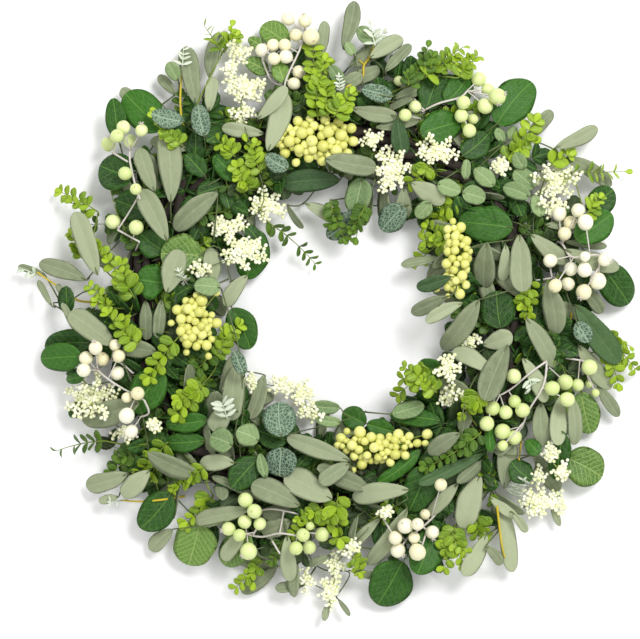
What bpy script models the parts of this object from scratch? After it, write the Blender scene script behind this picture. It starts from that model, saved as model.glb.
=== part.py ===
"""Eucalyptus wreath that lies on its back: a ring of wound vines with mixed greenery on it.

Units in the tables of positions are pixels of the reference picture, which looks straight
down on the wreath. Everything else is in millimetres until a mesh is made in metres.
"""
import math
import random

import bmesh
import bpy
from mathutils import Euler, Vector
from mathutils.bvhtree import BVHTree

# Scale and place of the reference picture
PICTURE_PIXEL_MM = 0.9
WREATH_CENTRE_PX = (330, 311)
MM_TO_M = 0.001

# Vine ring
RING_RADIUS = 167.0
RING_CENTRE_HEIGHT = 17.0
VINE_COUNT = 4
VINE_TURNS = 3
VINE_REACH = 22.6
GROOVE_REACH = 16.0
VINE_FLATTENING = 0.82
VINE_STEPS = 36

# Foliage
JOINT_GAP = 2.6
THINNEST_FACE = 0.05
THINNEST_NECK = 0.5
LEAST_AGREEMENT = 0.35
BLADE_THICKNESS = 1.5
STALK_RADIUS = 0.8
BERRY_STALK_RADIUS = 0.55
FLORET_STALK_RADIUS = 0.45
CLEARANCE = 0.7
SEAT = 0.5
MOST_LIFT = 4.0
LIFTS = (0, 3, -3, 6, -6, 9, 12, 15, 19, 24, 30)
TWIG_RADIUS = {"leaf": 1.7, "berry": 1.5, "floret": 1.1}
TRUNK_STEP = 30.0
MOST_PAIRS = 3
FLORET_SHARE = 0.31
BERRY_SPACING = 1.55
SHORT_STALK = 9.0
DEEP_FOOT = 1.3
BED_EDGE_HEIGHT = 9.0
BED_CROWN_HEIGHT = 26.0
BED_SPREAD = 52.0
SEED = 214
UP = Vector((0.0, 0.0, 1.0))

# Colour in steps from 0 to 255 and roughness of each kind of node
FINISHES = {
    "vine_ring": ((62, 50, 42), 0.8),
    "back_leaves": ((112, 126, 96), 0.75),
    "long_leaves": ((172, 184, 142), 0.75),
    "broad_leaves": ((42, 92, 36), 0.45),
    "small_leaves": ((96, 138, 108), 0.55),
    "lime_sprigs": ((140, 182, 44), 0.5),
    "yellow_berries": ((236, 236, 150), 0.4),
    "white_berries": ((248, 243, 226), 0.35),
    "green_berries": ((216, 232, 152), 0.35),
    "florets": ((248, 248, 224), 0.6),
}
SMOOTH_ANGLE_DEG = 40.0

# Shape of a blade: place along its length, and half width as a share of the widest
LONG_LEAF_ROWS = ((0.14, 0.42), (0.42, 1.0), (0.74, 0.74))
ROUND_LEAF_ROWS = ((0.13, 0.62), (0.47, 1.0), (0.84, 0.72))
SHORT_LEAF_ROWS = ((0.25, 0.86), (0.68, 0.90))
SHORT_LEAF_PX = 52

# Long grey-green leaves behind the others: base, tip, width and, where steep, roll in degrees
BACK_LEAVES = {
    "back_leaves_top": (
        (350, 66, 383, 46, 18), (342, 82, 380, 68, 18), (332, 95, 362, 74, 18),
        (395, 98, 420, 88, 14), (318, 60, 325, 20, 14), (376, 128, 420, 118, 16)),
    "back_leaves_right": (
        (565, 157, 613, 185, 18), (528, 138, 553, 110, 16), (565, 242, 608, 246, 10),
        (545, 225, 590, 222, 14), (548, 300, 592, 318, 16)),
    "back_leaves_lower_right": (
        (470, 392, 438, 384, 18), (505, 488, 511, 440, 22), (512, 442, 494, 452, 16),
        (535, 455, 560, 492, 18), (462, 434, 466, 412, 16), (532, 420, 572, 432, 16)),
    "back_leaves_bottom": (
        (262, 500, 212, 476, 10), (290, 520, 262, 533, 22), (330, 556, 308, 566, 9),
        (304, 586, 275, 589, 12), (330, 602, 324, 622, 8), (338, 600, 350, 617, 6),
        (352, 572, 384, 578, 10)),
    "back_leaves_left": (
        (120, 262, 86, 250, 24), (157, 351, 123, 349, 20), (146, 300, 147, 340, 16),
        (162, 300, 158, 338, 14), (52, 306, 37, 280, 8), (74, 330, 62, 303, 8),
        (68, 302, 56, 284, 8), (44, 275, 17, 266, 9), (138, 102, 120, 88, 14), (174, 94, 158, 74, 12),
        (188, 150, 150, 140, 16)),
}

# Long grey-green leaves
LONG_LEAVES = {
    "long_leaves_top_left": (
        (196, 104, 185, 45, 20), (209, 78, 219, 31, 17), (209, 111, 213, 76, 15),
        (268, 152, 285, 93, 22), (258, 120, 287, 88, 16), (264, 134, 222, 128, 16)),
    "long_leaves_crown": (
        (343, 48, 355, 0, 18), (370, 58, 403, 37, 18), (385, 72, 411, 44, 13),
        (352, 109, 397, 117, 18), (397, 118, 403, 155, 20)),
    "long_leaves_inner_top": (
        (340, 180, 283, 184, 24), (305, 203, 347, 222, 17), (325, 160, 376, 168, 24),
        (375, 180, 350, 225, 7, 60), (287, 205, 303, 228, 8, 50), (404, 188, 405, 218, 18),
        (411, 183, 444, 203, 22)),
    "long_leaves_upper_right": (
        (555, 148, 599, 127, 17), (530, 235, 566, 263, 19), (565, 250, 619, 268, 18),
        (580, 285, 603, 313, 16)),
    "long_leaves_inner_right": (
        (440, 257, 401, 265, 11), (450, 277, 416, 288, 16), (445, 297, 411, 313, 16),
        (462, 303, 425, 322, 15), (486, 243, 484, 288, 24),
        (505, 245, 502, 281, 14), (519, 235, 521, 292, 23)),
    "long_leaves_right": (
        (545, 282, 556, 335, 22), (525, 318, 556, 367, 20), (575, 305, 619, 363, 26),
        (578, 345, 612, 389, 18), (598, 385, 620, 417, 14), (478, 300, 443, 350, 22)),
    "long_leaves_lower_right": (
        (490, 370, 453, 350, 20), (483, 345, 512, 335, 22), (507, 345, 483, 400, 25),
        (522, 358, 545, 402, 18), (541, 402, 544, 447, 20), (562, 395, 557, 445, 20),
        (570, 395, 575, 445, 17), (456, 424, 427, 421, 17), (458, 432, 428, 453, 20)),
    "long_leaves_bottom_right": (
        (483, 453, 418, 483, 14), (458, 483, 427, 515, 16), (480, 475, 463, 529, 25),
        (487, 535, 463, 575, 20), (503, 502, 513, 573, 18), (490, 497, 517, 518, 12),
        (512, 512, 527, 532, 10), (486, 545, 502, 565, 12), (552, 500, 561, 527, 8)),
    "long_leaves_bottom": (
        (349, 463, 320, 482, 20), (350, 460, 287, 437, 18), (408, 488, 352, 497, 20),
        (380, 518, 347, 552, 13), (358, 515, 350, 545, 8, 45), (407, 508, 368, 565, 18)),
    "long_leaves_bottom_left": (
        (300, 505, 252, 483, 24), (332, 498, 285, 474, 28), (250, 508, 195, 521, 18),
        (245, 530, 223, 560, 18), (287, 535, 290, 582, 18), (172, 530, 149, 551, 18),
        (237, 363, 231, 420, 24), (264, 375, 250, 419, 18), (228, 405, 214, 431, 24),
        (235, 462, 200, 464, 19)),
    "long_leaves_left": (
        (140, 402, 81, 420, 26), (115, 345, 70, 313, 24), (127, 474, 85, 487, 22),
        (150, 470, 122, 496, 22), (118, 497, 98, 502, 10)),
    "long_leaves_upper_left": (
        (86, 280, 38, 263, 20), (98, 275, 75, 212, 22), (168, 241, 142, 190, 22),
        (218, 193, 175, 230, 22), (168, 293, 180, 250, 26), (213, 285, 210, 248, 20),
        (247, 275, 225, 306, 18), (222, 320, 208, 296, 20), (171, 203, 166, 130, 24),
        (155, 192, 139, 148, 20)),
}

# Broad dark leaves with pale veins
BROAD_LEAVES = {
    "broad_leaves_top_left": (
        (162, 130, 125, 93, 38), (118, 140, 113, 98, 21), (133, 178, 99, 165, 38),
        (149, 212, 116, 200, 34), (238, 180, 214, 156, 22), (205, 176, 186, 155, 20)),
    "broad_leaves_inner_left": (
        (166, 252, 141, 234, 28), (166, 283, 137, 279, 36), (203, 256, 161, 254, 40),
        (259, 230, 246, 279, 34), (232, 308, 250, 349, 30), (258, 240, 246, 226, 14)),
    "broad_leaves_top": (
        (289, 44, 261, 25, 26), (268, 72, 246, 60, 18), (284, 83, 276, 60, 18),
        (264, 48, 248, 37, 12)),
    "broad_leaves_top_right": (
        (426, 110, 441, 69, 30), (446, 103, 470, 75, 28), (420, 134, 461, 122, 34),
        (497, 124, 533, 81, 40), (462, 156, 488, 134, 26)),
    "broad_leaves_right": (
        (512, 228, 458, 222, 38), (500, 328, 496, 291, 38), (588, 214, 614, 189, 28),
        (575, 240, 612, 214, 32), (600, 266, 630, 304, 36)),
    "broad_leaves_lower_right": (
        (582, 392, 592, 434, 30), (566, 458, 603, 478, 40), (562, 431, 556, 480, 22),
        (490, 452, 489, 426, 12), (531, 480, 511, 462, 24), (538, 454, 526, 440, 16),
        (441, 372, 418, 364, 20)),
    "broad_leaves_bottom": (
        (366, 424, 343, 412, 24), (394, 432, 367, 424, 18), (440, 421, 390, 415, 18),
        (420, 450, 377, 483, 16), (428, 465, 409, 511, 34), (403, 562, 378, 606, 44),
        (434, 531, 417, 574, 34)),
    "broad_leaves_bottom_left": (
        (200, 522, 188, 566, 44), (248, 532, 224, 566, 32), (171, 493, 140, 529, 34),
        (258, 458, 232, 487, 30), (288, 440, 256, 430, 26)),
    "broad_leaves_left": (
        (208, 419, 166, 424, 20), (205, 440, 163, 443, 20), (90, 343, 44, 347, 28),
        (82, 356, 40, 359, 30), (80, 402, 70, 418, 14), (84, 376, 66, 380, 12),
        (163, 370, 134, 412, 36)),
}

# Sprigs that grow among the small leaves of a node
SPRIGS_AMONG_LEAVES = {
    "small_leaves_inner_top": ((330, 200, 345, 240, 6, 4), (365, 205, 356, 240, 6, 3)),
}

# Small round leaves, some of them with a pale net of veins
SMALL_LEAVES = {
    "small_leaves_top_left": (
        (205, 137, 198, 105, 22), (184, 122, 152, 114, 22), (288, 170, 266, 156, 20),
        (178, 80, 168, 62, 16)),
    "small_leaves_top": (
        (392, 98, 362, 90, 20), (342, 86, 330, 66, 16), (374, 42, 358, 27, 18),
        (354, 56, 346, 43, 12)),
    "small_leaves_inner_top": (
        (404, 206, 382, 230, 30), (430, 203, 416, 217, 18), (362, 178, 354, 214, 30),
        (361, 214, 327, 237, 26)),
    "small_leaves_right": (
        (494, 186, 474, 169, 20), (576, 322, 588, 342, 20), (504, 142, 497, 128, 12),
        (510, 140, 516, 126, 12), (437, 184, 460, 192, 20), (462, 193, 485, 199, 22),
        (465, 180, 466, 160, 11), (534, 188, 514, 171, 24), (529, 197, 503, 187, 20),
        (524, 169, 515, 153, 16), (541, 217, 533, 196, 16)),
    "small_leaves_bottom": (
        (282, 436, 279, 402, 38), (282, 447, 280, 476, 38), (392, 414, 424, 405, 20),
        (340, 408, 312, 406, 16), (341, 422, 315, 418, 13), (266, 477, 260, 453, 12)),
    "small_leaves_left": (
        (245, 374, 235, 351, 16), (233, 444, 211, 436, 28), (259, 440, 237, 430, 26),
        (221, 288, 195, 286, 22)),
}

# Lime sprigs: base, tip, half width over a pair of leaflets, and number of pairs
LIME_SPRIGS = {
    "lime_sprigs_upper_left": (
        (222, 52, 203, 24, 5, 3), (226, 50, 232, 24, 5, 3), (182, 146, 155, 113, 7, 4),
        (235, 157, 217, 140, 7, 2), (262, 173, 246, 140, 7, 3), (250, 190, 236, 166, 7, 2),
        (265, 220, 318, 267, 7, 5)),
    "lime_sprigs_top": (
        (318, 120, 312, 36, 8, 7), (328, 118, 330, 62, 6, 5), (334, 118, 351, 93, 7, 2),
        (408, 86, 418, 68, 6, 2), (425, 78, 467, 44, 7, 4), (424, 74, 428, 46, 6, 3),
        (458, 78, 479, 55, 6, 2)),
    "lime_sprigs_upper_right": (
        (505, 160, 536, 119, 8, 4), (545, 172, 570, 144, 8, 3), (572, 172, 630, 171, 6, 5),
        (584, 216, 600, 197, 6, 2)),
    "lime_sprigs_inner_right": (
        (430, 166, 407, 185, 7, 3), (455, 202, 434, 222, 7, 2), (452, 230, 414, 263, 8, 4),
        (530, 280, 527, 315, 7, 3), (452, 240, 425, 226, 6, 2)),
    "lime_sprigs_lower_right": (
        (440, 366, 396, 397, 8, 4), (436, 392, 402, 366, 7, 3), (478, 390, 462, 415, 7, 2),
        (480, 432, 422, 468, 7, 4), (604, 334, 638, 372, 7, 3), (606, 350, 620, 386, 7, 3)),
    "lime_sprigs_bottom": (
        (478, 513, 480, 545, 8, 3), (455, 526, 443, 570, 8, 4), (452, 533, 465, 566, 6, 3),
        (338, 493, 340, 541, 9, 4), (350, 552, 360, 574, 6, 2), (322, 506, 292, 534, 6, 3),
        (283, 540, 272, 563, 6, 2), (264, 560, 234, 590, 7, 3)),
    "lime_sprigs_left": (
        (213, 496, 185, 524, 8, 3), (205, 466, 171, 490, 6, 3), (168, 442, 138, 474, 8, 3),
        (135, 451, 111, 475, 7, 2), (104, 441, 52, 453, 5, 5), (205, 384, 177, 416, 8, 3),
        (216, 349, 185, 381, 7, 3), (182, 334, 148, 380, 8, 4), (215, 357, 239, 324, 7, 3),
        (140, 344, 107, 312, 8, 4), (135, 298, 107, 259, 8, 4), (112, 308, 89, 286, 6, 3),
        (98, 212, 58, 191, 7, 4), (82, 258, 71, 233, 5, 2), (104, 258, 86, 236, 6, 2)),
}

# Yellow berry bunches: centre, half width and half height of the core, then the berries
YELLOW_BUNCHES = {
    "yellow_berries_top": ((315, 141, 36, 17), (
        (279, 143, 6), (288, 129, 6), (290, 142, 7), (285, 154, 6), (298, 122, 6),
        (302, 134, 7), (299, 150, 6), (310, 120, 5), (315, 129, 7), (312, 142, 7),
        (309, 158, 6), (325, 120, 6), (328, 133, 7), (323, 147, 7), (322, 161, 6),
        (338, 123, 6), (341, 136, 7), (336, 151, 7), (334, 163, 5), (351, 129, 6),
        (353, 142, 6), (347, 154, 6), (296, 163, 5), (276, 133, 5), (343, 146, 5),
        (318, 138, 5), (305, 126, 5), (331, 142, 5))),
    "yellow_berries_right": ((456, 258, 11, 30), (
        (452, 222, 4), (447, 230, 5), (460, 228, 6), (454, 237, 5), (465, 242, 6),
        (459, 249, 7), (447, 252, 5), (464, 257, 5), (460, 265, 6), (446, 264, 6),
        (453, 270, 5), (446, 278, 6), (461, 276, 6), (455, 284, 7), (465, 285, 5),
        (470, 288, 6), (447, 287, 5), (436, 289, 4), (440, 295, 5), (447, 296, 3),
        (459, 294, 6))),
    "yellow_berries_bottom": ((375, 448, 34, 12), (
        (341, 438, 6), (347, 431, 4), (360, 432, 7), (371, 437, 6), (352, 445, 6),
        (361, 446, 8), (374, 447, 6), (354, 456, 5), (367, 455, 5), (378, 457, 5),
        (362, 464, 6), (353, 470, 4), (385, 443, 5), (394, 444, 6), (398, 434, 6),
        (389, 436, 4), (409, 436, 5), (408, 445, 7), (395, 454, 6), (405, 455, 5),
        (417, 443, 5), (427, 434, 6), (390, 462, 5), (425, 443, 4))),
    "yellow_berries_left": ((195, 322, 15, 25), (
        (208, 291, 6), (217, 293, 4), (202, 301, 7), (178, 310, 6), (189, 309, 6),
        (200, 312, 6), (182, 319, 6), (192, 321, 7), (172, 323, 4), (217, 323, 6),
        (212, 315, 4), (208, 319, 4), (182, 331, 6), (202, 326, 5), (191, 333, 6),
        (188, 343, 6), (207, 345, 6), (197, 346, 5), (212, 339, 4), (187, 352, 4),
        (209, 356, 4))),
}

# Sprays of single berries: visible branches, then the berries with their radius
BERRY_SPRAYS = {
    "white_berries_top": (
        (((305, 28), (300, 50), (284, 84), (290, 100)), ((262, 58), (271, 80), (283, 86))),
        ((288, 18, 6.5), (305, 20, 6.5), (296, 35, 6), (311, 37, 8), (262, 50, 6.5),
         (273, 45, 6), (285, 45, 6), (286, 57, 6.5), (274, 59, 6), (299, 72, 6.5),
         (294, 84, 6))),
    "white_berries_left": (
        (((95, 368), (112, 381), (130, 392)), ((108, 360), (120, 362), (133, 373)),
         ((145, 400), (150, 413), (140, 417))),
        ((97, 348, 6.5), (87, 358, 6.5), (103, 359, 6.5), (85, 370, 6.5), (116, 345, 5.5),
         (120, 356, 6), (118, 373, 6.5), (139, 393, 6.5), (128, 397, 5), (128, 415, 7.5),
         (132, 431, 6.5))),
    "white_berries_right": (
        (((555, 240), (563, 245), (570, 258), (592, 255), (600, 256)),
         ((550, 267), (552, 278))),
        ((577, 211, 6.5), (584, 223, 7.5), (570, 223, 6.5), (559, 214, 7), (564, 234, 6.5),
         (549, 261, 6.5), (553, 286, 6.5), (567, 284, 6.5), (583, 257, 5), (570, 269, 6.5),
         (583, 270, 7), (597, 281, 8), (583, 292, 7.5), (603, 260, 6.5))),
    "white_berries_bottom": (
        (((437, 513), (425, 525), (405, 540)), ((427, 530), (422, 545))),
        ((405, 525, 7.5), (417, 523, 6), (414, 537, 5.5), (395, 537, 6.5), (398, 550, 7),
         (417, 551, 8), (432, 532, 6.5), (425, 514, 5), (440, 484, 6))),
    "green_berries_left": (
        (((112, 152), (128, 162)), ((130, 150), (130, 162), (136, 186), (141, 200)),
         ((118, 230), (140, 242))),
        ((108, 144, 7), (124, 128, 6.5), (118, 137, 6.5), (130, 141, 6.5), (142, 131, 6),
         (126, 174, 6.5), (137, 190, 5.5), (113, 222, 7), (137, 228, 7))),
    "green_berries_top_right": (
        (((425, 110), (440, 103), (460, 98), (468, 90)),),
        ((479, 79, 7), (488, 89, 6), (497, 97, 8), (485, 106, 7.5), (463, 103, 6.5),
         (461, 116, 6.5), (473, 119, 5), (469, 131, 6.5), (405, 116, 6), (415, 107, 6),
         (399, 81, 5))),
    "green_berries_right": (
        (((546, 361), (530, 372), (512, 388), (500, 395)),
         ((546, 362), (543, 385), (528, 410), (522, 428)), ((560, 357), (585, 361))),
        ((513, 376, 7), (492, 408, 7), (505, 412, 6.5), (514, 401, 6), (522, 410, 7),
         (486, 423, 7), (502, 431, 7.5), (514, 437, 7), (502, 445, 5), (551, 388, 7),
         (565, 382, 7.5), (578, 385, 6), (566, 399, 7), (589, 367, 7.5), (590, 384, 4),
         (596, 393, 4))),
    "green_berries_bottom": (
        (((260, 510), (275, 508), (305, 515)), ((245, 533), (263, 537), (280, 532), (305, 537)),
         ((263, 537), (255, 548)), ((272, 540), (280, 553))),
        ((246, 499, 7), (255, 510, 7), (245, 521, 6.5), (260, 523, 6), (229, 528, 6.5),
         (240, 534, 6), (249, 550, 8), (303, 534, 6.5), (296, 547, 6.5), (309, 547, 6.5),
         (310, 525, 4), (322, 534, 7))),
}

# Sprays of tiny florets: centre, half width and half height of a head, and how many florets
FLORET_HEADS = {
    "florets_upper_left": (
        (238, 50, 14, 11, 6), (230, 68, 6, 8, 4), (246, 88, 24, 14, 13), (240, 114, 14, 9, 6),
        (268, 205, 20, 17, 11), (228, 226, 20, 12, 8), (244, 251, 28, 16, 10),
        (200, 270, 10, 8, 4)),
    "florets_top": (
        (371, 140, 13, 10, 8), (391, 170, 22, 24, 14), (436, 152, 22, 14, 10)),
    "florets_right": (
        (500, 166, 9, 8, 4), (556, 182, 25, 20, 16), (553, 208, 15, 11, 8)),
    "florets_inner_right": (
        (468, 342, 12, 6, 5), (446, 368, 14, 15, 9), (450, 397, 14, 14, 8)),
    "florets_left": (
        (92, 398, 28, 24, 12), (124, 434, 14, 6, 5), (154, 424, 6, 6, 3)),
    "florets_lower_left": (
        (250, 383, 5, 7, 3), (283, 388, 16, 11, 8), (302, 394, 11, 14, 7),
        (310, 412, 13, 11, 6)),
    "florets_bottom": (
        (351, 547, 10, 8, 5), (335, 565, 9, 14, 6), (330, 593, 11, 17, 8),
        (305, 580, 9, 12, 5), (384, 511, 5, 4, 2)),
    "florets_bottom_right": (
        (551, 452, 7, 8, 4), (561, 471, 7, 9, 4), (539, 478, 6, 8, 3), (543, 503, 28, 17, 15)),
}

# Order from the ring upwards
LAYERS = (
    "back_leaves_top", "back_leaves_right", "back_leaves_lower_right", "back_leaves_bottom",
    "back_leaves_left",
    "broad_leaves_top_left", "broad_leaves_inner_left", "broad_leaves_top_right",
    "broad_leaves_right", "broad_leaves_lower_right", "broad_leaves_bottom",
    "broad_leaves_bottom_left", "broad_leaves_left",
    "lime_sprigs_inner_right", "lime_sprigs_upper_right", "lime_sprigs_bottom",
    "lime_sprigs_left", "lime_sprigs_lower_right",
    "yellow_berries_top", "yellow_berries_right", "yellow_berries_bottom",
    "yellow_berries_left",
    "long_leaves_upper_left", "long_leaves_left", "long_leaves_bottom_left",
    "long_leaves_bottom", "long_leaves_bottom_right", "long_leaves_lower_right",
    "long_leaves_right", "long_leaves_upper_right", "long_leaves_inner_right",
    "long_leaves_inner_top", "long_leaves_top_left", "long_leaves_crown",
    "broad_leaves_top", "lime_sprigs_upper_left", "lime_sprigs_top",
    "small_leaves_top_left", "small_leaves_top", "small_leaves_inner_top",
    "small_leaves_right", "small_leaves_bottom",
    "small_leaves_left",
    "florets_upper_left", "florets_top", "florets_right", "florets_inner_right",
    "florets_left", "florets_lower_left", "florets_bottom", "florets_bottom_right",
    "white_berries_top", "white_berries_left", "white_berries_right",
    "white_berries_bottom", "green_berries_left", "green_berries_top_right",
    "green_berries_right", "green_berries_bottom",
)


def plan(x_px, y_px):
    """Place in the plane of the wreath of a point of the picture."""
    return Vector(((x_px - WREATH_CENTRE_PX[0]) * PICTURE_PIXEL_MM,
                   (WREATH_CENTRE_PX[1] - y_px) * PICTURE_PIXEL_MM, 0.0))


def bed_height(x, y):
    """Lowest height for foliage: high over the ring and low at both edges."""
    off_ring = (math.hypot(x, y) - RING_RADIUS) / BED_SPREAD
    return BED_EDGE_HEIGHT + BED_CROWN_HEIGHT * math.exp(-off_ring * off_ring)


def vine_meshes():
    """Closed ring of vines that wind round it together, with grooves between them."""
    section = []
    for vine in range(VINE_COUNT):
        for share, reach in ((0.0, GROOVE_REACH), (0.3, VINE_REACH), (0.7, VINE_REACH)):
            section.append((math.tau * (vine + share) / VINE_COUNT, reach))
    count = len(section)
    points = []
    faces = []
    for step in range(VINE_STEPS):
        round_ring = math.tau * step / VINE_STEPS
        twist = VINE_TURNS * round_ring
        outward = Vector((math.cos(round_ring), math.sin(round_ring), 0.0))
        for index, (turn, reach) in enumerate(section):
            knot = reach * (1.0 + 0.05 * math.sin(4.0 * round_ring + 1.7 * index))
            point = outward * (RING_RADIUS + knot * math.cos(turn + twist))
            point.z = RING_CENTRE_HEIGHT + knot * VINE_FLATTENING * math.sin(turn + twist)
            points.append(point)
    for step in range(VINE_STEPS):
        slip = VINE_TURNS * count if step + 1 == VINE_STEPS else 0
        ahead = (step + 1) % VINE_STEPS * count
        for index in range(count):
            here = step * count + index
            beside = step * count + (index + 1) % count
            far = ahead + (index + slip) % count
            far_beside = ahead + (index + 1 + slip) % count
            faces.append((here, far, beside))
            faces.append((beside, far, far_beside))
    return [(points, faces)]


def leaf_rows(spec, shape):
    """Rows of a plain leaf: place along it, half width and how far its edge is swept on."""
    length = math.hypot(spec[2] - spec[0], spec[3] - spec[1])
    if shape is LONG_LEAF_ROWS and length < SHORT_LEAF_PX:
        shape = SHORT_LEAF_ROWS
    return [(place, share * spec[4] * PICTURE_PIXEL_MM / 2.0, 0.0) for place, share in shape]


def sprig_rows(half_width, pairs):
    """Rows of a sprig: a wide row for each pair of leaflets and a notch between pairs."""
    rows = []
    for pair in range(pairs):
        reach = half_width * (1.0 - 0.35 * pair / pairs)
        rows.append(((pair + 0.62) / (pairs + 0.25), reach, 0.16 / pairs))
        if pair + 1 < pairs:
            rows.append(((pair + 1.12) / (pairs + 0.25), 1.1, 0.0))
    return rows


def blade_height(blade, along, across):
    """Height of the middle of the blade above its base."""
    length = (blade["tip"] - blade["base"]).length
    return (blade["rise"] * along * length + blade["arch"] * length * 4.0 * along * (1.0 - along)
            + blade["lean"] * across + blade["fold"] * abs(across))


def blade_point(blade, along, across, swept=0.0):
    """Point on the middle of the blade; across is in millimetres from its midrib."""
    run = blade["tip"] - blade["base"]
    side = Vector((-run.y, run.x, 0.0)).normalized()
    bow = blade["bow"] * run.length * 4.0 * along * (1.0 - along)
    place = blade["base"] + run * (along + swept) + side * (across + bow)
    place.z = blade["height"] + blade_height(blade, along, across)
    return place


def stalk_rows(blade, extra):
    """Foot of the blade's stalk, and rows of four points where the stalk bends."""
    base = blade["base"] + UP * blade["height"]
    run = (blade["tip"] - blade["base"]).normalized()
    if len(blade["stalk"]) == 1 and (base - blade["stalk"][0]).length < SHORT_STALK:
        foot = blade["stalk"][0]
        return foot - (base - foot).normalized() * DEEP_FOOT, []
    path = blade["stalk"] + [base]
    side = Vector((-run.y, run.x, 0.0))
    above = UP
    heading = run
    rows = []
    for index in range(len(path) - 1, 0, -1):
        before = (path[index] - path[index - 1]).normalized()
        along = (before + heading).normalized()
        fresh = side - along * side.dot(along)
        if fresh.length > 0.35:
            side = fresh.normalized()
            over = along.cross(side)
            above = over if over.dot(above) > 0.0 else -over
        else:
            above = (above - along * above.dot(along)).normalized()
            over = above.cross(along)
            side = over if over.dot(side) > 0.0 else -over
        reach = STALK_RADIUS + extra
        rows.insert(0, [path[index] + side * reach, path[index] + above * reach,
                        path[index] - side * reach, path[index] - above * reach])
        heading = before
    return path[0] - heading * 0.5, rows


def blade_mesh(blade, extra=0.0):
    """Closed thin blade with a row of four points at each place along it."""
    steep = math.sqrt(1.0 + blade["lean"] ** 2 + blade["rise"] ** 2)
    half = UP * ((BLADE_THICKNESS / 2.0 + extra) * steep)
    if blade.get("stalk"):
        foot, rows = stalk_rows(blade, extra)
    else:
        foot, rows = blade_point(blade, 0.0, 0.0), []
    for along, reach, swept in blade["rows"]:
        middle = blade_point(blade, along, 0.0)
        rows.append([blade_point(blade, along, reach + extra, swept), middle + half,
                     blade_point(blade, along, -reach - extra, swept), middle - half])
    points = [foot] + [point for row in rows for point in row]
    points.append(blade_point(blade, 1.0, 0.0))
    last = len(points) - 1
    faces = []
    for edge in range(4):
        beside = (edge + 1) % 4
        faces.append((0, 1 + beside, 1 + edge))
        faces.append((last, last - 4 + edge, last - 4 + beside))
    for row in range(len(rows) - 1):
        for edge in range(4):
            outer = 1 + 4 * row + (edge if edge % 2 == 0 else (edge + 1) % 4)
            inner = 1 + 4 * row + (edge if edge % 2 else edge + 1)
            triangles = ((outer, inner, outer + 4), (inner, inner + 4, outer + 4))
            for triangle in triangles:
                faces.append(triangle if edge % 2 == 0 else triangle[::-1])
    return points, faces


def berry_mesh(centre, radius):
    """Closed ball with twenty faces."""
    golden = (1.0 + math.sqrt(5.0)) / 2.0
    scale = radius / math.sqrt(1.0 + golden * golden) * 1.08
    corners = [(-1, golden, 0), (1, golden, 0), (-1, -golden, 0), (1, -golden, 0),
               (0, -1, golden), (0, 1, golden), (0, -1, -golden), (0, 1, -golden),
               (golden, 0, -1), (golden, 0, 1), (-golden, 0, -1), (-golden, 0, 1)]
    faces = [(0, 11, 5), (0, 5, 1), (0, 1, 7), (0, 7, 10), (0, 10, 11), (1, 5, 9),
             (5, 11, 4), (11, 10, 2), (10, 7, 6), (7, 1, 8), (3, 9, 4), (3, 4, 2),
             (3, 2, 6), (3, 6, 8), (3, 8, 9), (4, 9, 5), (2, 4, 11), (6, 2, 10),
             (8, 6, 7), (9, 8, 1)]
    return [centre + Vector(corner) * scale for corner in corners], faces


def core_mesh(centre, half_x, half_y, half_z):
    """Closed egg shape in the middle of a dense bunch."""
    points, faces = berry_mesh(Vector((0.0, 0.0, 0.0)), 1.0)
    stretch = Vector((half_x, half_y, half_z))
    return [centre + Vector((p.x * stretch.x, p.y * stretch.y, p.z * stretch.z))
            for p in points], faces


def bead_mesh(centre, radius, spin=None):
    """Closed bead with eight faces."""
    corners = [(1, 0, 0), (0, 1, 0), (-1, 0, 0), (0, -1, 0), (0, 0, 1), (0, 0, -1)]
    faces = [(0, 1, 4), (1, 2, 4), (2, 3, 4), (3, 0, 4), (1, 0, 5), (2, 1, 5), (3, 2, 5),
             (0, 3, 5)]
    points = [Vector(corner) * radius for corner in corners]
    if spin:
        points = [spin @ point for point in points]
    return [centre + point for point in points], faces


def with_neck(mesh, stalk_from, radius):
    """The ball with its nearest face drawn out into a stalk that ends at a point."""
    points, faces = list(mesh[0]), list(mesh[1])
    centre = sum(points, Vector()) / len(points)
    toward = (stalk_from - centre).normalized()
    turned = {}
    for face in faces:
        middle = sum((points[corner] for corner in face), Vector()) / 3.0 - centre
        turned[face] = middle.normalized().dot(toward)
    chosen = max(faces, key=lambda face: turned[face])
    faces.remove(chosen)
    end = stalk_from + toward * 0.4
    middle = sum((points[corner] for corner in chosen), Vector()) / 3.0
    first = len(points)
    for corner in chosen:
        spoke = points[corner] - middle
        spoke -= toward * spoke.dot(toward)
        points.append(end + spoke.normalized() * radius)
    for index in range(3):
        near, near_next = chosen[index], chosen[(index + 1) % 3]
        far, far_next = first + index, first + (index + 1) % 3
        faces.append((near, near_next, far_next))
        faces.append((near, far_next, far))
    faces.append((first, first + 1, first + 2))
    return points, faces


def twig_mesh(start, end, start_radius, end_radius):
    """Closed three-sided twig between two points, which it runs a little past."""
    along = (end - start).normalized()
    first = along.orthogonal().normalized()
    second = along.cross(first)
    points = []
    for place, radius in ((start - along * 0.5, start_radius), (end + along * 0.5, end_radius)):
        for corner in range(3):
            turn = math.tau * corner / 3.0
            points.append(place + (first * math.cos(turn) + second * math.sin(turn)) * radius)
    faces = [(0, 2, 1), (3, 4, 5)]
    for corner in range(3):
        beside = (corner + 1) % 3
        faces.append((corner, beside, corner + 3))
        faces.append((beside, beside + 3, corner + 3))
    return points, faces


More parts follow.
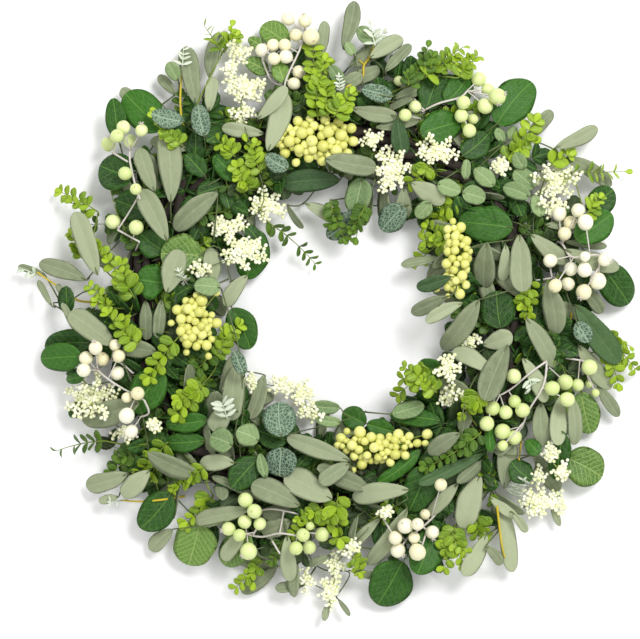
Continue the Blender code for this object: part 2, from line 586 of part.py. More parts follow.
def tube_mesh(route, radius):
    """Closed three-sided twig along a route, which it runs a little past at both ends."""
    points = []
    across = None
    for index, place in enumerate(route):
        before = (place - route[index - 1]).normalized() if index else None
        after = (route[index + 1] - place).normalized() if index + 1 < len(route) else None
        along = ((before or after) + (after or before)).normalized()
        start = across or along.orthogonal()
        across = (start - along * start.dot(along)).normalized()
        second = along.cross(across)
        if not index:
            place = place - along * 0.5
        if index + 1 == len(route):
            place = place + along * 0.5
        for corner in range(3):
            turn = math.tau * corner / 3.0
            points.append(place + (across * math.cos(turn) + second * math.sin(turn)) * radius)
    last = len(points) - 3
    faces = [(0, 2, 1), (last, last + 1, last + 2)]
    for start in range(0, last, 3):
        for corner in range(3):
            beside = (corner + 1) % 3
            faces.append((start + corner, start + beside, start + corner + 3))
            faces.append((start + beside, start + beside + 3, start + corner + 3))
    return points, faces


class Heap:
    """Everything placed so far, to lay the next piece on top of it."""

    def __init__(self):
        self.points = []
        self.faces = []
        self.tree = None

    def add(self, meshes):
        for points, faces in meshes:
            first = len(self.points)
            self.points.extend(points)
            self.faces.extend(tuple(first + corner for corner in face) for face in faces)
        self.tree = BVHTree.FromPolygons(self.points, self.faces)

    def top(self, x, y):
        if self.tree is None:
            return -1.0
        hit = self.tree.ray_cast(Vector((x, y, 500.0)), -UP)
        return hit[0].z if hit[0] else -1.0

    def touches(self, mesh):
        return self.tree is not None and bool(
            self.tree.overlap(BVHTree.FromPolygons(mesh[0], mesh[1])))


def ground(x, y, heaps):
    """Top of what lies at a place, or the lowest height allowed there."""
    return max([bed_height(x, y)] + [heap.top(x, y) for heap in heaps])


def rest_height(blade, heaps):
    """Height of the base at which the blade just lies on what is below it."""
    needed = 0.0
    widths = [(0.0, 1.0)] + [(row[0], row[1]) for row in blade["rows"]] + [(1.0, 0.0)]
    probes = []
    for (near, near_reach), (far, far_reach) in zip(widths, widths[1:]):
        probes.append((near, near_reach))
        probes.append(((near + far) / 2.0, (near_reach + far_reach) / 2.0))
    probes.append((1.0, 0.0))
    for along, reach in probes:
        for share in (-1.0, -0.5, 0.0, 0.5, 1.0):
            spot = blade_point(blade, along, share * reach)
            below = ground(spot.x, spot.y, heaps)
            lift = BLADE_THICKNESS * 0.6 + CLEARANCE
            needed = max(needed, below + lift - (spot.z - blade["height"]))
    return needed


def make_blade(base, tip, rows, rng, heaps, roll=None):
    """Blade tilted to lie low on what is below it, near a tilt of its own."""
    blade = {"base": base, "tip": tip, "rows": rows, "height": 0.0, "rise": 0.0, "lean": 0.0}
    blade["arch"] = rng.uniform(0.02, 0.09)
    blade["fold"] = rng.uniform(-0.05, 0.22)
    blade["bow"] = rng.uniform(-0.045, 0.045)
    wish_rise = rng.uniform(-22.0, 24.0)
    wish_lean = rng.uniform(-24.0, 24.0) if roll is None else roll
    leans = (-20.0, 0.0, 20.0) if roll is None else (roll, -roll)
    choices = []
    for rise in (-34.0, -22.0, -10.0, 2.0, 14.0, 26.0):
        for lean in leans:
            blade["rise"] = math.tan(math.radians(rise + wish_rise * 0.25))
            blade["lean"] = math.tan(math.radians(lean * 0.8 + wish_lean * 0.2))
            height = rest_height(blade, heaps)
            middle = height + blade_height(blade, 0.5, 0.0)
            end = height + blade_height(blade, 1.0, 0.0)
            cost = (height + middle + end) / 3.0 + 0.16 * abs(rise - wish_rise)
            cost += 0.08 * abs(lean - wish_lean)
            choices.append((cost, height, blade["rise"], blade["lean"]))
    lift = rng.uniform(0.0, MOST_LIFT)
    best = None
    for cost, height, rise, lean in sorted(choices):
        blade["rise"], blade["lean"] = rise, lean
        for step in range(60):
            blade["height"] = height + lift + 0.4 * step
            if not any(heap.touches(blade_mesh(blade, CLEARANCE)) for heap in heaps):
                break
        if best is None or cost + 0.4 * step < best[0]:
            best = (cost + 0.4 * step, blade["height"], rise, lean)
        if not step:
            break
    blade["height"], blade["rise"], blade["lean"] = best[1:]
    return blade


def rest_ball(x, y, radius, heaps, lift=0.0):
    """Centre of a ball that lies on what is below it."""
    height = 0.0
    for share, count in ((0.0, 1), (0.6, 6), (1.0, 8)):
        drop = radius * 1.08 * math.sqrt(max(0.0, 1.0 - share * share))
        for step in range(count):
            turn = math.tau * step / count
            below = ground(x + share * radius * math.cos(turn),
                           y + share * radius * math.sin(turn), heaps)
            height = max(height, below + drop + CLEARANCE)
    centre = Vector((x, y, height + lift))
    for _ in range(60):
        if not heaps[0].touches(berry_mesh(centre, radius + CLEARANCE)):
            break
        centre.z += 0.4
    return centre


def clear_route(start, end, radius, heap, own=None):
    """Points of a twig that bows until it clears the other nodes, and its own if it can."""
    fallback = None
    for lift in LIFTS:
        route = [start, end]
        if lift:
            route = [start, (start + end) / 2.0 + UP * lift, end]
        legs = list(zip(route, route[1:]))
        reach = radius + CLEARANCE
        if any(heap.touches(twig_mesh(a, b, reach, reach)) for a, b in legs):
            continue
        if any(point.z < bed_height(point.x, point.y) - 6.0 for point in route):
            continue
        near = route[0].lerp(route[1], 3.0 / max(6.0, (route[1] - route[0]).length))
        far = route[-1].lerp(route[-2], 3.0 / max(6.0, (route[-2] - route[-1]).length))
        inner = [near] + route[1:-1] + [far]
        if own is None or not any(own.touches(twig_mesh(a, b, reach, reach))
                                  for a, b in zip(inner, inner[1:]) if (a - b).length > 0.5):
            return route
        fallback = fallback or route
    return fallback


def find_root(anchors, ring, heap, radius):
    """Free spot on the ring near the spray, and the way from it to the spray."""
    best = None
    for anchor in anchors:
        direction = math.atan2(anchor.y, anchor.x)
        for turn in (0.0, -0.06, 0.06, -0.12, 0.12, -0.2, 0.2):
            for offset in (0.0, 9.0, -9.0, 17.0, -17.0):
                reach = RING_RADIUS + offset
                x = reach * math.cos(direction + turn)
                y = reach * math.sin(direction + turn)
                spots = [(x, y)] + [(x + 1.6 * math.cos(corner), y + 1.6 * math.sin(corner))
                                    for corner in (0.0, 2.1, 4.2)]
                tops = [ring.top(*spot) for spot in spots]
                if min(tops) < 18.0 or any(heap.top(*spot) > top + 0.01
                                           for spot, top in zip(spots, tops)):
                    continue
                foot = Vector((x, y, max(tops) + 0.85))
                distance = (anchor - foot).length
                if best and best[0] <= distance:
                    continue
                if distance > 90.0:
                    continue
                knee = foot + UP * 3.0
                route = clear_route(knee, anchor, radius, heap)
                if route and not heap.touches(tube_mesh([foot] + route, radius + 0.05)):
                    best = (distance, [foot] + route)
    return best[1] if best else None


def lay_trunk(spots, heap, radius):
    """Stem of a spray that follows its leaves' feet just above what lies below."""
    middle = sum(spots, Vector()) / len(spots)
    across = sum((spot.x - middle.x) ** 2 for spot in spots)
    upward = sum((spot.y - middle.y) ** 2 for spot in spots)
    mixed = sum((spot.x - middle.x) * (spot.y - middle.y) for spot in spots)
    turn = 0.5 * math.atan2(2.0 * mixed, across - upward)
    axis = Vector((math.cos(turn), math.sin(turn), 0.0))
    spots = sorted(spots, key=lambda spot: (spot - middle).dot(axis))
    span = (spots[-1] - spots[0]).dot(axis)
    count = max(2, min(len(spots), 1 + round(span / TRUNK_STEP)))
    route = []
    for group in range(count):
        first = group * len(spots) // count
        last = max(first + 1, (group + 1) * len(spots) // count)
        route.append(sum(spots[first:last], Vector()) / (last - first))
    if (route[-1] - route[0]).length < 16.0:
        route[0] = middle - axis * 9.0
        route[-1] = middle + axis * 9.0
    for spot in route:
        spot.z = ground(spot.x, spot.y, [heap]) + radius + CLEARANCE
    return raise_clear(route, heap, radius)


def raise_clear(route, heap, radius):
    """Lifts the route's points until it clears the other nodes."""
    reach = radius + CLEARANCE
    for _ in range(60):
        bad = set()
        for index, (a, b) in enumerate(zip(route, route[1:])):
            if heap.touches(twig_mesh(a, b, reach, reach)):
                bad.update(end for end, spot in ((index, a), (index + 1, b))
                           if spot.z < max(a.z, b.z) + 0.5 and spot.z < min(a.z, b.z) + 6.0)
        if not bad:
            break
        for index in bad:
            route[index].z += 1.0
    return route


def route_length(route):
    """Length along a route."""
    return sum((b - a).length for a, b in zip(route, route[1:]))


def feet_on(routes, goal):
    """Places along the routes where a stalk may start, the nearest to the goal first."""
    feet = []
    for route in routes:
        for a, b in zip(route, route[1:]):
            length = (b - a).length
            steps = max(1, int(length / 5.0))
            for step in range(steps):
                feet.append(a.lerp(b, (step + 0.5) / steps))
            share = (goal - a).dot(b - a) / (length * length)
            feet.append(a.lerp(b, max(0.12, min(0.88, share))))
    return sorted(feet, key=lambda foot: (goal - foot).length)


def stalks_to(goal, routes, radius, heap, own):
    """Ways from a stem up to the goal, which is left out, the shortest first."""
    ways = [clear_route(foot, goal, radius, heap, own) for foot in feet_on(routes, goal)[:16]]
    for way in sorted((way for way in ways if way), key=route_length):
        yield way[:-1]


def bind(routes, radius, ring, heap):
    """Joins the stems of a spray to each other and, where a way is free, to the ring."""
    joined = [routes[0]]
    for route in routes[1:]:
        pairs = sorted(((a - b).length, i, j)
                       for i, a in enumerate(feet_on(joined, route[0])[:12])
                       for j, b in enumerate(route))
        feet = feet_on(joined, route[0])[:12]
        best = None
        for distance, i, j in pairs:
            if best and best[0] <= distance:
                break
            way = clear_route(feet[i], route[j], radius, heap)
            if way and not heap.touches(tube_mesh(way, radius + CLEARANCE)):
                if best is None or route_length(way) < best[0]:
                    best = (route_length(way), way)
        if best:
            joined.append(best[1])
        joined.append(route)
    root = find_root([point for route in joined for point in route], ring, heap, radius)
    if root:
        joined.append(root)
    return joined


def lay_branches(branches, heap, radius):
    """Branches of a berry spray, laid on what is below them and raised clear."""
    routes = []
    for branch in branches:
        route = []
        for x_px, y_px in branch:
            spot = plan(x_px, y_px)
            spot.z = ground(spot.x, spot.y, [heap]) + radius + CLEARANCE + 1.5
            route.append(spot)
        routes.append(raise_clear(route, heap, radius))
    return routes


def lay_blades(name, specs, ring, heap, kind):
    """Node of leaves or sprigs on a stem; each spec is base, tip, rows and roll."""
    rng = random.Random(f"{SEED} {name}")
    radius = TWIG_RADIUS[kind]
    trunk = lay_trunk([spec[0].copy() for spec in specs], heap, radius)
    routes = bind([trunk], radius, ring, heap)
    own = Heap()
    own.add([tube_mesh(route, radius) for route in routes])
    blades = []
    lost = 0
    for base, tip, rows, roll in specs:
        blade = make_blade(base, tip, rows, rng, (heap, own), roll)
        for stalk in stalks_to(base + UP * blade["height"], routes, STALK_RADIUS, heap, own):
            blade["stalk"] = stalk
            if not heap.touches(blade_mesh(blade, SEAT)):
                blades.append(blade)
                own.add([blade_mesh(blade)])
                break
        else:
            lost += 1
    return {"name": name, "blades": blades, "routes": routes, "radius": radius, "lost": lost}


def lay_leaves(name, specs, shape, ring, heap):
    """Node of leaves on a stem."""
    made = []
    for spec in specs:
        roll = spec[5] if len(spec) > 5 else None
        made.append((plan(*spec[0:2]), plan(*spec[2:4]), leaf_rows(spec, shape), roll))
    made += sprig_specs(SPRIGS_AMONG_LEAVES.get(name, ()))
    return lay_blades(name, made, ring, heap, "leaf")


def sprig_specs(specs):
    """Base, tip, rows and roll of each sprig."""
    made = []
    for x0, y0, x1, y1, reach, pairs in specs:
        rows = sprig_rows(reach * PICTURE_PIXEL_MM, min(pairs, MOST_PAIRS))
        made.append((plan(x0, y0), plan(x1, y1), rows, None))
    return made


def lay_sprigs(name, specs, ring, heap):
    """Node of lime sprigs on a stem."""
    return lay_blades(name, sprig_specs(specs), ring, heap, "berry")


def lay_core(middle, half_x, half_y, half_z, heap):
    """Centre of a core that lies on what is below it."""
    needed = 0.0
    for share, count in ((0.0, 1), (0.5, 8), (0.95, 14)):
        drop = half_z * 1.08 * math.sqrt(1.0 - share * share)
        for step in range(count):
            turn = math.tau * step / count
            below = ground(middle.x + half_x * share * math.cos(turn),
                           middle.y + half_y * share * math.sin(turn), [heap])
            needed = max(needed, below + drop + CLEARANCE)
    centre = Vector((middle.x, middle.y, needed))
    while heap.touches(core_mesh(centre, half_x + 0.4, half_y + 0.4, half_z + 0.4)):
        centre.z += 0.4
    return centre


def lay_bunch(name, spec, ring, heap):
    """Node of a dense bunch of berries round a smaller core."""
    rng = random.Random(f"{SEED} {name}")
    (core_x, core_y, half_x, half_y), berries = spec
    half_x *= PICTURE_PIXEL_MM
    half_y *= PICTURE_PIXEL_MM
    half_z = 9.0
    middle = lay_core(plan(core_x, core_y), half_x, half_y, half_z, heap)
    balls = []
    lost = 0
    for x_px, y_px, radius_px in berries:
        spot = plan(x_px, y_px)
        radius = radius_px * PICTURE_PIXEL_MM
        if any(math.hypot(spot.x - ball["centre"].x, spot.y - ball["centre"].y)
               < BERRY_SPACING * radius for ball in balls):
            continue
        off = Vector(((spot.x - middle.x) / half_x, (spot.y - middle.y) / half_y))
        dome = middle.z + half_z * math.sqrt(max(0.0, 1.0 - off.length_squared))
        dome += rng.uniform(-0.1, 0.35) * radius
        centre = rest_ball(spot.x, spot.y, radius, (heap,))
        centre.z = max(centre.z, dome)
        gap = Vector((off.x, off.y, (centre.z - middle.z) / half_z)).length
        stalk = None
        if gap > 1.0 + 0.35 * radius / min(half_x, half_y):
            stalk = middle + (centre - middle) * (0.72 / gap)
            body = with_neck(berry_mesh(centre, radius * 1.15), stalk, 1.2)
            if heap.touches(body):
                lost += 1
                continue
        balls.append({"centre": centre, "radius": radius, "stalk": stalk,
                      "spin": Euler([rng.uniform(0.0, 3.0) for _ in range(3)]).to_matrix()})
    root = find_root([middle], ring, heap, 1.0)
    return {"name": name, "core": (middle, half_x, half_y, half_z), "small_balls": balls,
            "routes": [root] if root else [], "radius": 0.9, "lost": lost}


def lay_berries(name, spec, ring, heap):
    """Node of a spray of single berries on branches."""
    rng = random.Random(f"{SEED} {name}")
    branches, berries = spec
    radius = TWIG_RADIUS["berry"]
    routes = bind(lay_branches(branches, heap, radius), radius, ring, heap)
    own = Heap()
    own.add([tube_mesh(route, radius) for route in routes])
    balls = []
    lost = 0
    for x_px, y_px, radius_px in berries:
        spot = plan(x_px, y_px)
        ball_radius = radius_px * PICTURE_PIXEL_MM
        centre = rest_ball(spot.x, spot.y, ball_radius, (heap, own), rng.uniform(0.5, 4.0))
        for stalk in stalks_to(centre, routes, STALK_RADIUS, heap, own):
            fat = with_neck(berry_mesh(centre, ball_radius + SEAT), stalk[-1],
                            BERRY_STALK_RADIUS + SEAT)
            if heap.touches(fat):
                continue
            if len(stalk) > 1 and heap.touches(tube_mesh(stalk, radius + SEAT)):
                continue
            balls.append({"centre": centre, "radius": ball_radius, "stalk": stalk[-1]})
            if len(stalk) > 1:
                routes.append(stalk)
            own.add([berry_mesh(centre, ball_radius)])
            break
        else:
            lost += 1
    return {"name": name, "balls": balls, "routes": routes, "radius": radius, "lost": lost}


def lay_florets(name, heads, ring, heap):
    """Node of heads of tiny florets, spread evenly over each head."""
    rng = random.Random(f"{SEED} {name}")
    radius = TWIG_RADIUS["floret"]
    trunk = lay_trunk([plan(*head[0:2]) for head in heads], heap, radius)
    routes = bind([trunk], radius, ring, heap)
    hubs = []
    beads = []
    lost = 0
    for x_px, y_px, half_x, half_y, count in heads:
        place = plan(x_px, y_px)
        hub = lay_core(place, 3.2, 3.2, 2.6, heap)
        for stalk in stalks_to(hub, routes, radius, heap, None):
            if not heap.touches(tube_mesh(stalk + [hub], radius + SEAT)):
                break
        else:
            lost += count
            continue
        if (stalk[0] - hub).length > 2.5:
            routes.append(stalk + [hub])
        hubs.append((hub, 3.2, 3.2, 2.6))
        kept = max(2, round(count * FLORET_SHARE))
        for index in range(kept):
            share = math.sqrt((index + 0.5) / kept)
            turn = index * 2.39996 + rng.uniform(-0.3, 0.3)
            spot = hub + Vector((half_x * share * math.cos(turn),
                                 half_y * share * math.sin(turn), 0.0)) * PICTURE_PIXEL_MM
            bead_radius = rng.uniform(2.0, 2.5)
            lift = rng.uniform(2.0, 5.0) + 3.0 * (1.0 - share)
            centre = rest_ball(spot.x, spot.y, bead_radius, (heap,), lift)
            start = hub + (centre - hub).normalized() * 1.4
            fat = with_neck(bead_mesh(centre, bead_radius + SEAT), start,
                            FLORET_STALK_RADIUS + SEAT)
            if heap.touches(fat):
                lost += 1
                continue
            beads.append({"centre": centre, "radius": bead_radius, "stalk": start})
    return {"name": name, "hubs": hubs, "beads": beads, "routes": routes, "radius": radius,
            "lost": lost}


def node_meshes(node):
    """Closed bodies of a node, which are fused into one."""
    meshes = [blade_mesh(blade) for blade in node.get("blades", ())]
    if "core" in node:
        meshes.append(core_mesh(*node["core"]))
    for ball in node.get("balls", ()):
        body = berry_mesh(ball["centre"], ball["radius"])
        meshes.append(with_neck(body, ball["stalk"], BERRY_STALK_RADIUS))
    for ball in node.get("small_balls", ()):
        body = bead_mesh(ball["centre"], ball["radius"] * 1.1, ball["spin"])
        meshes.append(with_neck(body, ball["stalk"], node["radius"]) if ball["stalk"] else body)
    meshes += [core_mesh(*hub) for hub in node.get("hubs", ())]
    for bead in node.get("beads", ()):
        body = bead_mesh(bead["centre"], bead["radius"])
        meshes.append(with_neck(body, bead["stalk"], FLORET_STALK_RADIUS))
    meshes += [tube_mesh(route, node["radius"]) for route in node["routes"]]
    return meshes


def lay_out():
    """All foliage nodes from the ring upwards."""
    ring = Heap()
    ring.add(vine_meshes())
    heap = Heap()
    heap.add(vine_meshes())
    nodes = []
    for name in LAYERS:
        if name in BACK_LEAVES:
            node = lay_leaves(name, BACK_LEAVES[name], SHORT_LEAF_ROWS, ring, heap)
        elif name in LONG_LEAVES:
            node = lay_leaves(name, LONG_LEAVES[name], LONG_LEAF_ROWS, ring, heap)
        elif name in BROAD_LEAVES:
            node = lay_leaves(name, BROAD_LEAVES[name], ROUND_LEAF_ROWS, ring, heap)
        elif name in SMALL_LEAVES:
            node = lay_leaves(name, SMALL_LEAVES[name], SHORT_LEAF_ROWS, ring, heap)
        elif name in LIME_SPRIGS:
            node = lay_sprigs(name, LIME_SPRIGS[name], ring, heap)
        elif name in YELLOW_BUNCHES:
            node = lay_bunch(name, YELLOW_BUNCHES[name], ring, heap)
        elif name in BERRY_SPRAYS:
            node = lay_berries(name, BERRY_SPRAYS[name], ring, heap)
        else:
            node = lay_florets(name, FLORET_HEADS[name], ring, heap)
        heap.add(node_meshes(node))
        nodes.append(node)
    return nodes


def make_object(name, points, faces):
    """Object with the given closed mesh, in metres."""
    mesh = bpy.data.meshes.new(name)
    mesh.from_pydata([point * MM_TO_M for point in points], [], faces)
    mesh.validate()
    made = bpy.data.objects.new(name, mesh)
    bpy.context.scene.collection.objects.link(made)
    return made


def fuse(name, meshes, cutters=()):
    """One closed body from the closed meshes, less the cutters."""
    body = make_object(name, *meshes[0])
    for index, (kind, group) in enumerate((("UNION", meshes[1:]), ("DIFFERENCE", cutters))):
        if not group:
            continue
        others = bpy.data.collections.new(f"{name}_{index}")
        bpy.context.scene.collection.children.link(others)
        for piece in group:
            other = make_object(f"{name}_piece", *piece)
            bpy.context.scene.collection.objects.unlink(other)
            others.objects.link(other)
        step = body.modifiers.new(kind.lower(), "BOOLEAN")
        step.operation = kind
        step.operand_type = "COLLECTION"
        step.collection = others
        step.solver = "MANIFOLD"
        apply_steps(body)
        for other in list(others.objects):
            bpy.data.objects.remove(other)
        bpy.data.collections.remove(others)
    return body


def apply_steps(body):
    """Bakes the modifiers of the body into its mesh."""
    graph = bpy.context.evaluated_depsgraph_get()
    baked = bpy.data.meshes.new_from_object(body.evaluated_get(graph))
    body.modifiers.clear()
    body.data = baked


def islands(mesh):
    """Vertex lists of the separate bodies of a mesh, the largest first."""
    parent = list(range(len(mesh.vertices)))

    def top_of(index):
        while parent[index] != index:
            parent[index] = parent[parent[index]]
            index = parent[index]
        return index

    for edge in mesh.edges:
        a, b = top_of(edge.vertices[0]), top_of(edge.vertices[1])
        parent[a] = b
    groups = {}
    for index in range(len(mesh.vertices)):
        groups.setdefault(top_of(index), []).append(index)
    return sorted(groups.values(), key=len, reverse=True)


def drop_scraps(body):
    """Removes loose scraps and the walls of sealed hollows."""
    scraps = [index for group in islands(body.data)[1:] for index in group]
    if not scraps:
        return
    cleaned = bmesh.new()
    cleaned.from_mesh(body.data)
    cleaned.verts.ensure_lookup_table()
    bmesh.ops.delete(cleaned, geom=[cleaned.verts[index] for index in scraps], context="VERTS")
    cleaned.to_mesh(body.data)
    cleaned.free()


def corner_normal(points, triangle):
    """Normal of a triangle, as long as its area is large."""
    a, b, c = (points[corner] for corner in triangle)
    return (b - a).cross(c - a)


def collapse_place(points, around, pair):
    """Where two neighbouring points can be joined with the least turn of the faces, or None."""
    best = None
    first, second = pair
    for place in (points[first], points[second], (points[first] + points[second]) / 2.0):
        worst = 1.0
        for triangle in around:
            if first in triangle and second in triangle:
                continue
            before = corner_normal(points, triangle)
            spots = [place if corner in pair else points[corner] for corner in triangle]
            after = (spots[1] - spots[0]).cross(spots[2] - spots[0])
            longest = max((spots[i] - spots[i - 1]).length for i in range(3))
            if after.length < THINNEST_FACE * longest:
                worst = -1.0
                break
            if before.length > 1e-6:
                worst = min(worst, before.normalized().dot(after.normalized()))
        if worst > LEAST_AGREEMENT and (best is None or worst > best[0] + 0.02):
            best = (worst, place)
    return best[1] if best else None


def pinches(points, faces, touching, place, pair):
    """Whether joining the pair there leaves a neck of three points that is too thin."""
    near = {corner for end in pair for index in touching[end] for corner in faces[index]}
    near -= set(pair)
    sides = {frozenset(set(faces[index]) - set(pair)) for end in pair
             for index in touching[end]}
    for first in near:
        beside = {corner for index in touching[first] for corner in faces[index]}
        for second in beside & near:
            if second <= first or frozenset((first, second)) in sides:
                continue
            a, b = points[first] - place, points[second] - place
            longest = max(a.length, b.length, (a - b).length)
            if a.cross(b).length < THINNEST_NECK * longest:
                return True
    return False


def in_triangles(body):
    """The body's mesh cut into triangles with two at every edge."""
    for method in ("BEAUTY", "EAR_CLIP"):
        mesh = bmesh.new()
        mesh.from_mesh(body.data)
        bmesh.ops.triangulate(mesh, faces=mesh.faces[:], ngon_method=method)
        if method == "EAR_CLIP" or all(len(edge.link_faces) == 2 for edge in mesh.edges):
            return mesh
        mesh.free()


def close_up_joints(body):
    """Joins points that lie close together where pieces meet, which keeps the body closed."""
    mesh = in_triangles(body)
    points = [vert.co / MM_TO_M for vert in mesh.verts]
    faces = {index: tuple(vert.index for vert in face.verts)
             for index, face in enumerate(mesh.faces)}
    mesh.free()
    gap = JOINT_GAP
    touching = {}
    for index, face in faces.items():
        for corner in face:
            touching.setdefault(corner, set()).add(index)
    changed = True
    while changed:
        changed = False
        edges = {tuple(sorted((face[i], face[i - 1]))) for face in faces.values()
                 for i in range(3)}
        short = sorted((round((points[a] - points[b]).length, 4), a, b) for a, b in edges
                       if (points[a] - points[b]).length < gap)
        for length, a, b in short:
            if not touching.get(a) or not touching.get(b):
                continue
            if (points[a] - points[b]).length >= gap:
                continue
            near_a = {corner for index in touching[a] for corner in faces[index]}
            near_b = {corner for index in touching[b] for corner in faces[index]}
            if b not in near_a or len(near_a & near_b) != 4:
                continue
            around = [faces[index] for index in touching[a] | touching[b]]
            place = collapse_place(points, around, (a, b))
            if place is None or pinches(points, faces, touching, place, (a, b)):
                continue
            points[a] = place.copy()
            for index in list(touching[b]):
                face = faces[index]
                if a in face:
                    for corner in face:
                        touching[corner].discard(index)
                    del faces[index]
                else:
                    faces[index] = tuple(a if corner == b else corner for corner in face)
                    touching[a].add(index)
            touching[b] = set()
            changed = True
    used = sorted({corner for face in faces.values() for corner in face})
    renamed = {corner: place for place, corner in enumerate(used)}
    fresh = bpy.data.meshes.new(body.name)
    fresh.from_pydata([points[corner] * MM_TO_M for corner in used], [],
                      [tuple(renamed[corner] for corner in face) for face in faces.values()])
    body.data = fresh


def make_ring():
    """Vine ring, cut flat along its back."""
    reach = RING_RADIUS + 60.0
    corners = [(x, y, z) for z in (-40.0, 0.0) for x, y in
               ((-reach, -reach), (reach, -reach), (reach, reach), (-reach, reach))]
    faces = [(0, 3, 2, 1), (4, 5, 6, 7), (0, 1, 5, 4), (1, 2, 6, 5), (2, 3, 7, 6), (3, 0, 4, 7)]
    below = ([Vector(corner) for corner in corners], faces)
    body = fuse("vine_ring", vine_meshes(), (below,))
    drop_scraps(body)
    return body


def tint(name, colour, roughness):
    """Plain material of a colour given in steps from 0 to 255."""
    made = bpy.data.materials.get(name) or bpy.data.materials.new(name)
    made.use_nodes = True
    surface = made.node_tree.nodes["Principled BSDF"]
    linear = [(step / 255.0) ** 2.2 for step in colour]
    surface.inputs["Base Color"].default_value = (*linear, 1.0)
    surface.inputs["Roughness"].default_value = roughness
    surface.inputs["Metallic"].default_value = 0.0
    return made


def finish(body):
    """Gives the body its material and smooth shading over its gentle bends."""
    kind = next(start for start in FINISHES if body.name.startswith(start))
    body.data.materials.clear()
    body.data.materials.append(tint(kind, *FINISHES[kind]))
    body.data.shade_smooth()
    body.data.set_sharp_from_angle(angle=math.radians(SMOOTH_ANGLE_DEG))


def main():
    for old in list(bpy.data.objects):
        bpy.data.objects.remove(old)
    finish(make_ring())
    for node in lay_out():
        body = fuse(node["name"], node_meshes(node))
        drop_scraps(body)
        close_up_joints(body)
        finish(body)


main()
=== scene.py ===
"""Finished surfaces of the eucalyptus wreath: fine leaves, berries, buds and vines.

Units in the tables of positions are pixels of the reference picture, which looks straight
down on the wreath. Everything else is in millimetres until a mesh is made in metres, unless
its name says otherwise. The layout is worked out as in the CAD, so that each fine leaf, berry
and bud lies where the solid one does.
"""
import math
import random

import bpy
import numpy as np
from mathutils import Euler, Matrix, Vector
from mathutils.bvhtree import BVHTree


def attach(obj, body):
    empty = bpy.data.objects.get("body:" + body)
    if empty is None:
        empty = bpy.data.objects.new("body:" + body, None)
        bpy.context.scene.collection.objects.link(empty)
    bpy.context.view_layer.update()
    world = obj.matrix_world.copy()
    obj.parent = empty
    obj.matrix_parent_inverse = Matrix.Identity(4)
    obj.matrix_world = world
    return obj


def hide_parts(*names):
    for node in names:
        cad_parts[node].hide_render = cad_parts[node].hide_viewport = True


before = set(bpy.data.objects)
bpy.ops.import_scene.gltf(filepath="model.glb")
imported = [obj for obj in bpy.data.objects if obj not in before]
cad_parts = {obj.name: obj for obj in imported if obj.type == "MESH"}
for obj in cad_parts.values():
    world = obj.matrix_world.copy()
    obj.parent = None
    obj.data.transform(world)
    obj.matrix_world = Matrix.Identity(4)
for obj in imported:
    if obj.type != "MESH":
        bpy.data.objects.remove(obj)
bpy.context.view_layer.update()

# Scale and place of the reference picture
PICTURE_PIXEL_MM = 0.9
WREATH_CENTRE_PX = (330, 311)
MM_TO_M = 0.001

# Vine ring, whose vines wind round it together
RING_RADIUS = 167.0
RING_CENTRE_HEIGHT = 17.0
VINE_COUNT = 4
VINE_TURNS = 3
VINE_REACH = 22.6
GROOVE_REACH = 16.0
VINE_FLATTENING = 0.82
VINE_STEPS = 36
# Outline of a lobe of the ring: share of the way across it, and reach; then how deep its waves
# are, how many go round the ring, and how far each point is ahead of the one before
LOBE = ((0.0, GROOVE_REACH), (0.3, VINE_REACH), (0.7, VINE_REACH))
WAVE_DEPTH = 0.05
WAVES_ROUND = 4.0
WAVE_SHIFT = 1.7

# Foliage of the CAD: thickness of a blade, radii of stalks and of stems
BLADE_THICKNESS = 1.5
STALK_RADIUS = 0.8
BERRY_STALK_RADIUS = 0.55
FLORET_STALK_RADIUS = 0.45
TWIG_RADIUS = {"leaf": 1.7, "berry": 1.5, "floret": 1.1}
# Gap to look for between nodes, and the least that will do
CLEARANCE = 0.7
SEAT = 0.5
# Highest that a blade may hover, and rises of a twig's middle that are tried in turn
MOST_LIFT = 4.0
LIFTS = (0, 3, -3, 6, -6, 9, 12, 15, 19, 24, 30)
# Length of stem for each of its points, most pairs that a sprig's blade shows, share of the
# florets that a head keeps, and how close two berries of a bunch may lie, in radii
TRUNK_STEP = 30.0
MOST_PAIRS = 3
FLORET_SHARE = 0.31
BERRY_SPACING = 1.55
# Stalk that needs no bend, how deep its foot and other ends go, and least width of a bend
SHORT_STALK = 9.0
DEEP_FOOT = 1.3
PAST_THE_END = 0.5
NECK_DEPTH = 0.4
LEAST_ACROSS = 0.35
# How far the corners of a ball with few faces stand out of the round one
CORNER_REACH = 1.08
# Bed under the foliage: height at its edges, rise over the ring, and how wide the rise is
BED_EDGE_HEIGHT = 9.0
BED_CROWN_HEIGHT = 26.0
BED_SPREAD = 52.0
SEED = 214
UP = Vector((0.0, 0.0, 1.0))
GOLDEN_ANGLE = 2.39996

# Heights above and below everything
ABOVE_THE_HEAP = 500.0
BELOW_THE_HEAP = -1.0
# Search for a free place: tries, a step up, and tilts of a blade
MOST_TRIES = 60
STEP_UP = 0.4
RISES_DEG = (-34.0, -22.0, -10.0, 2.0, 14.0, 26.0)
LEANS_DEG = (-20.0, 0.0, 20.0)
# Feet on the ring: turns and offsets from the nearest, the spots that must be free round one,
# how high the foot and the bend above it stand, lowest foot, and farthest from its spray
FOOT_TURNS = (0.0, -0.06, 0.06, -0.12, 0.12, -0.2, 0.2)
FOOT_OFFSETS = (0.0, 9.0, -9.0, 17.0, -17.0)
FOOT_CORNERS = (0.0, 2.1, 4.2)
FOOT_REACH = 1.6
FOOT_RISE = 0.85
KNEE_RISE = 3.0
LOWEST_FOOT = 18.0
FARTHEST_ROOT = 90.0
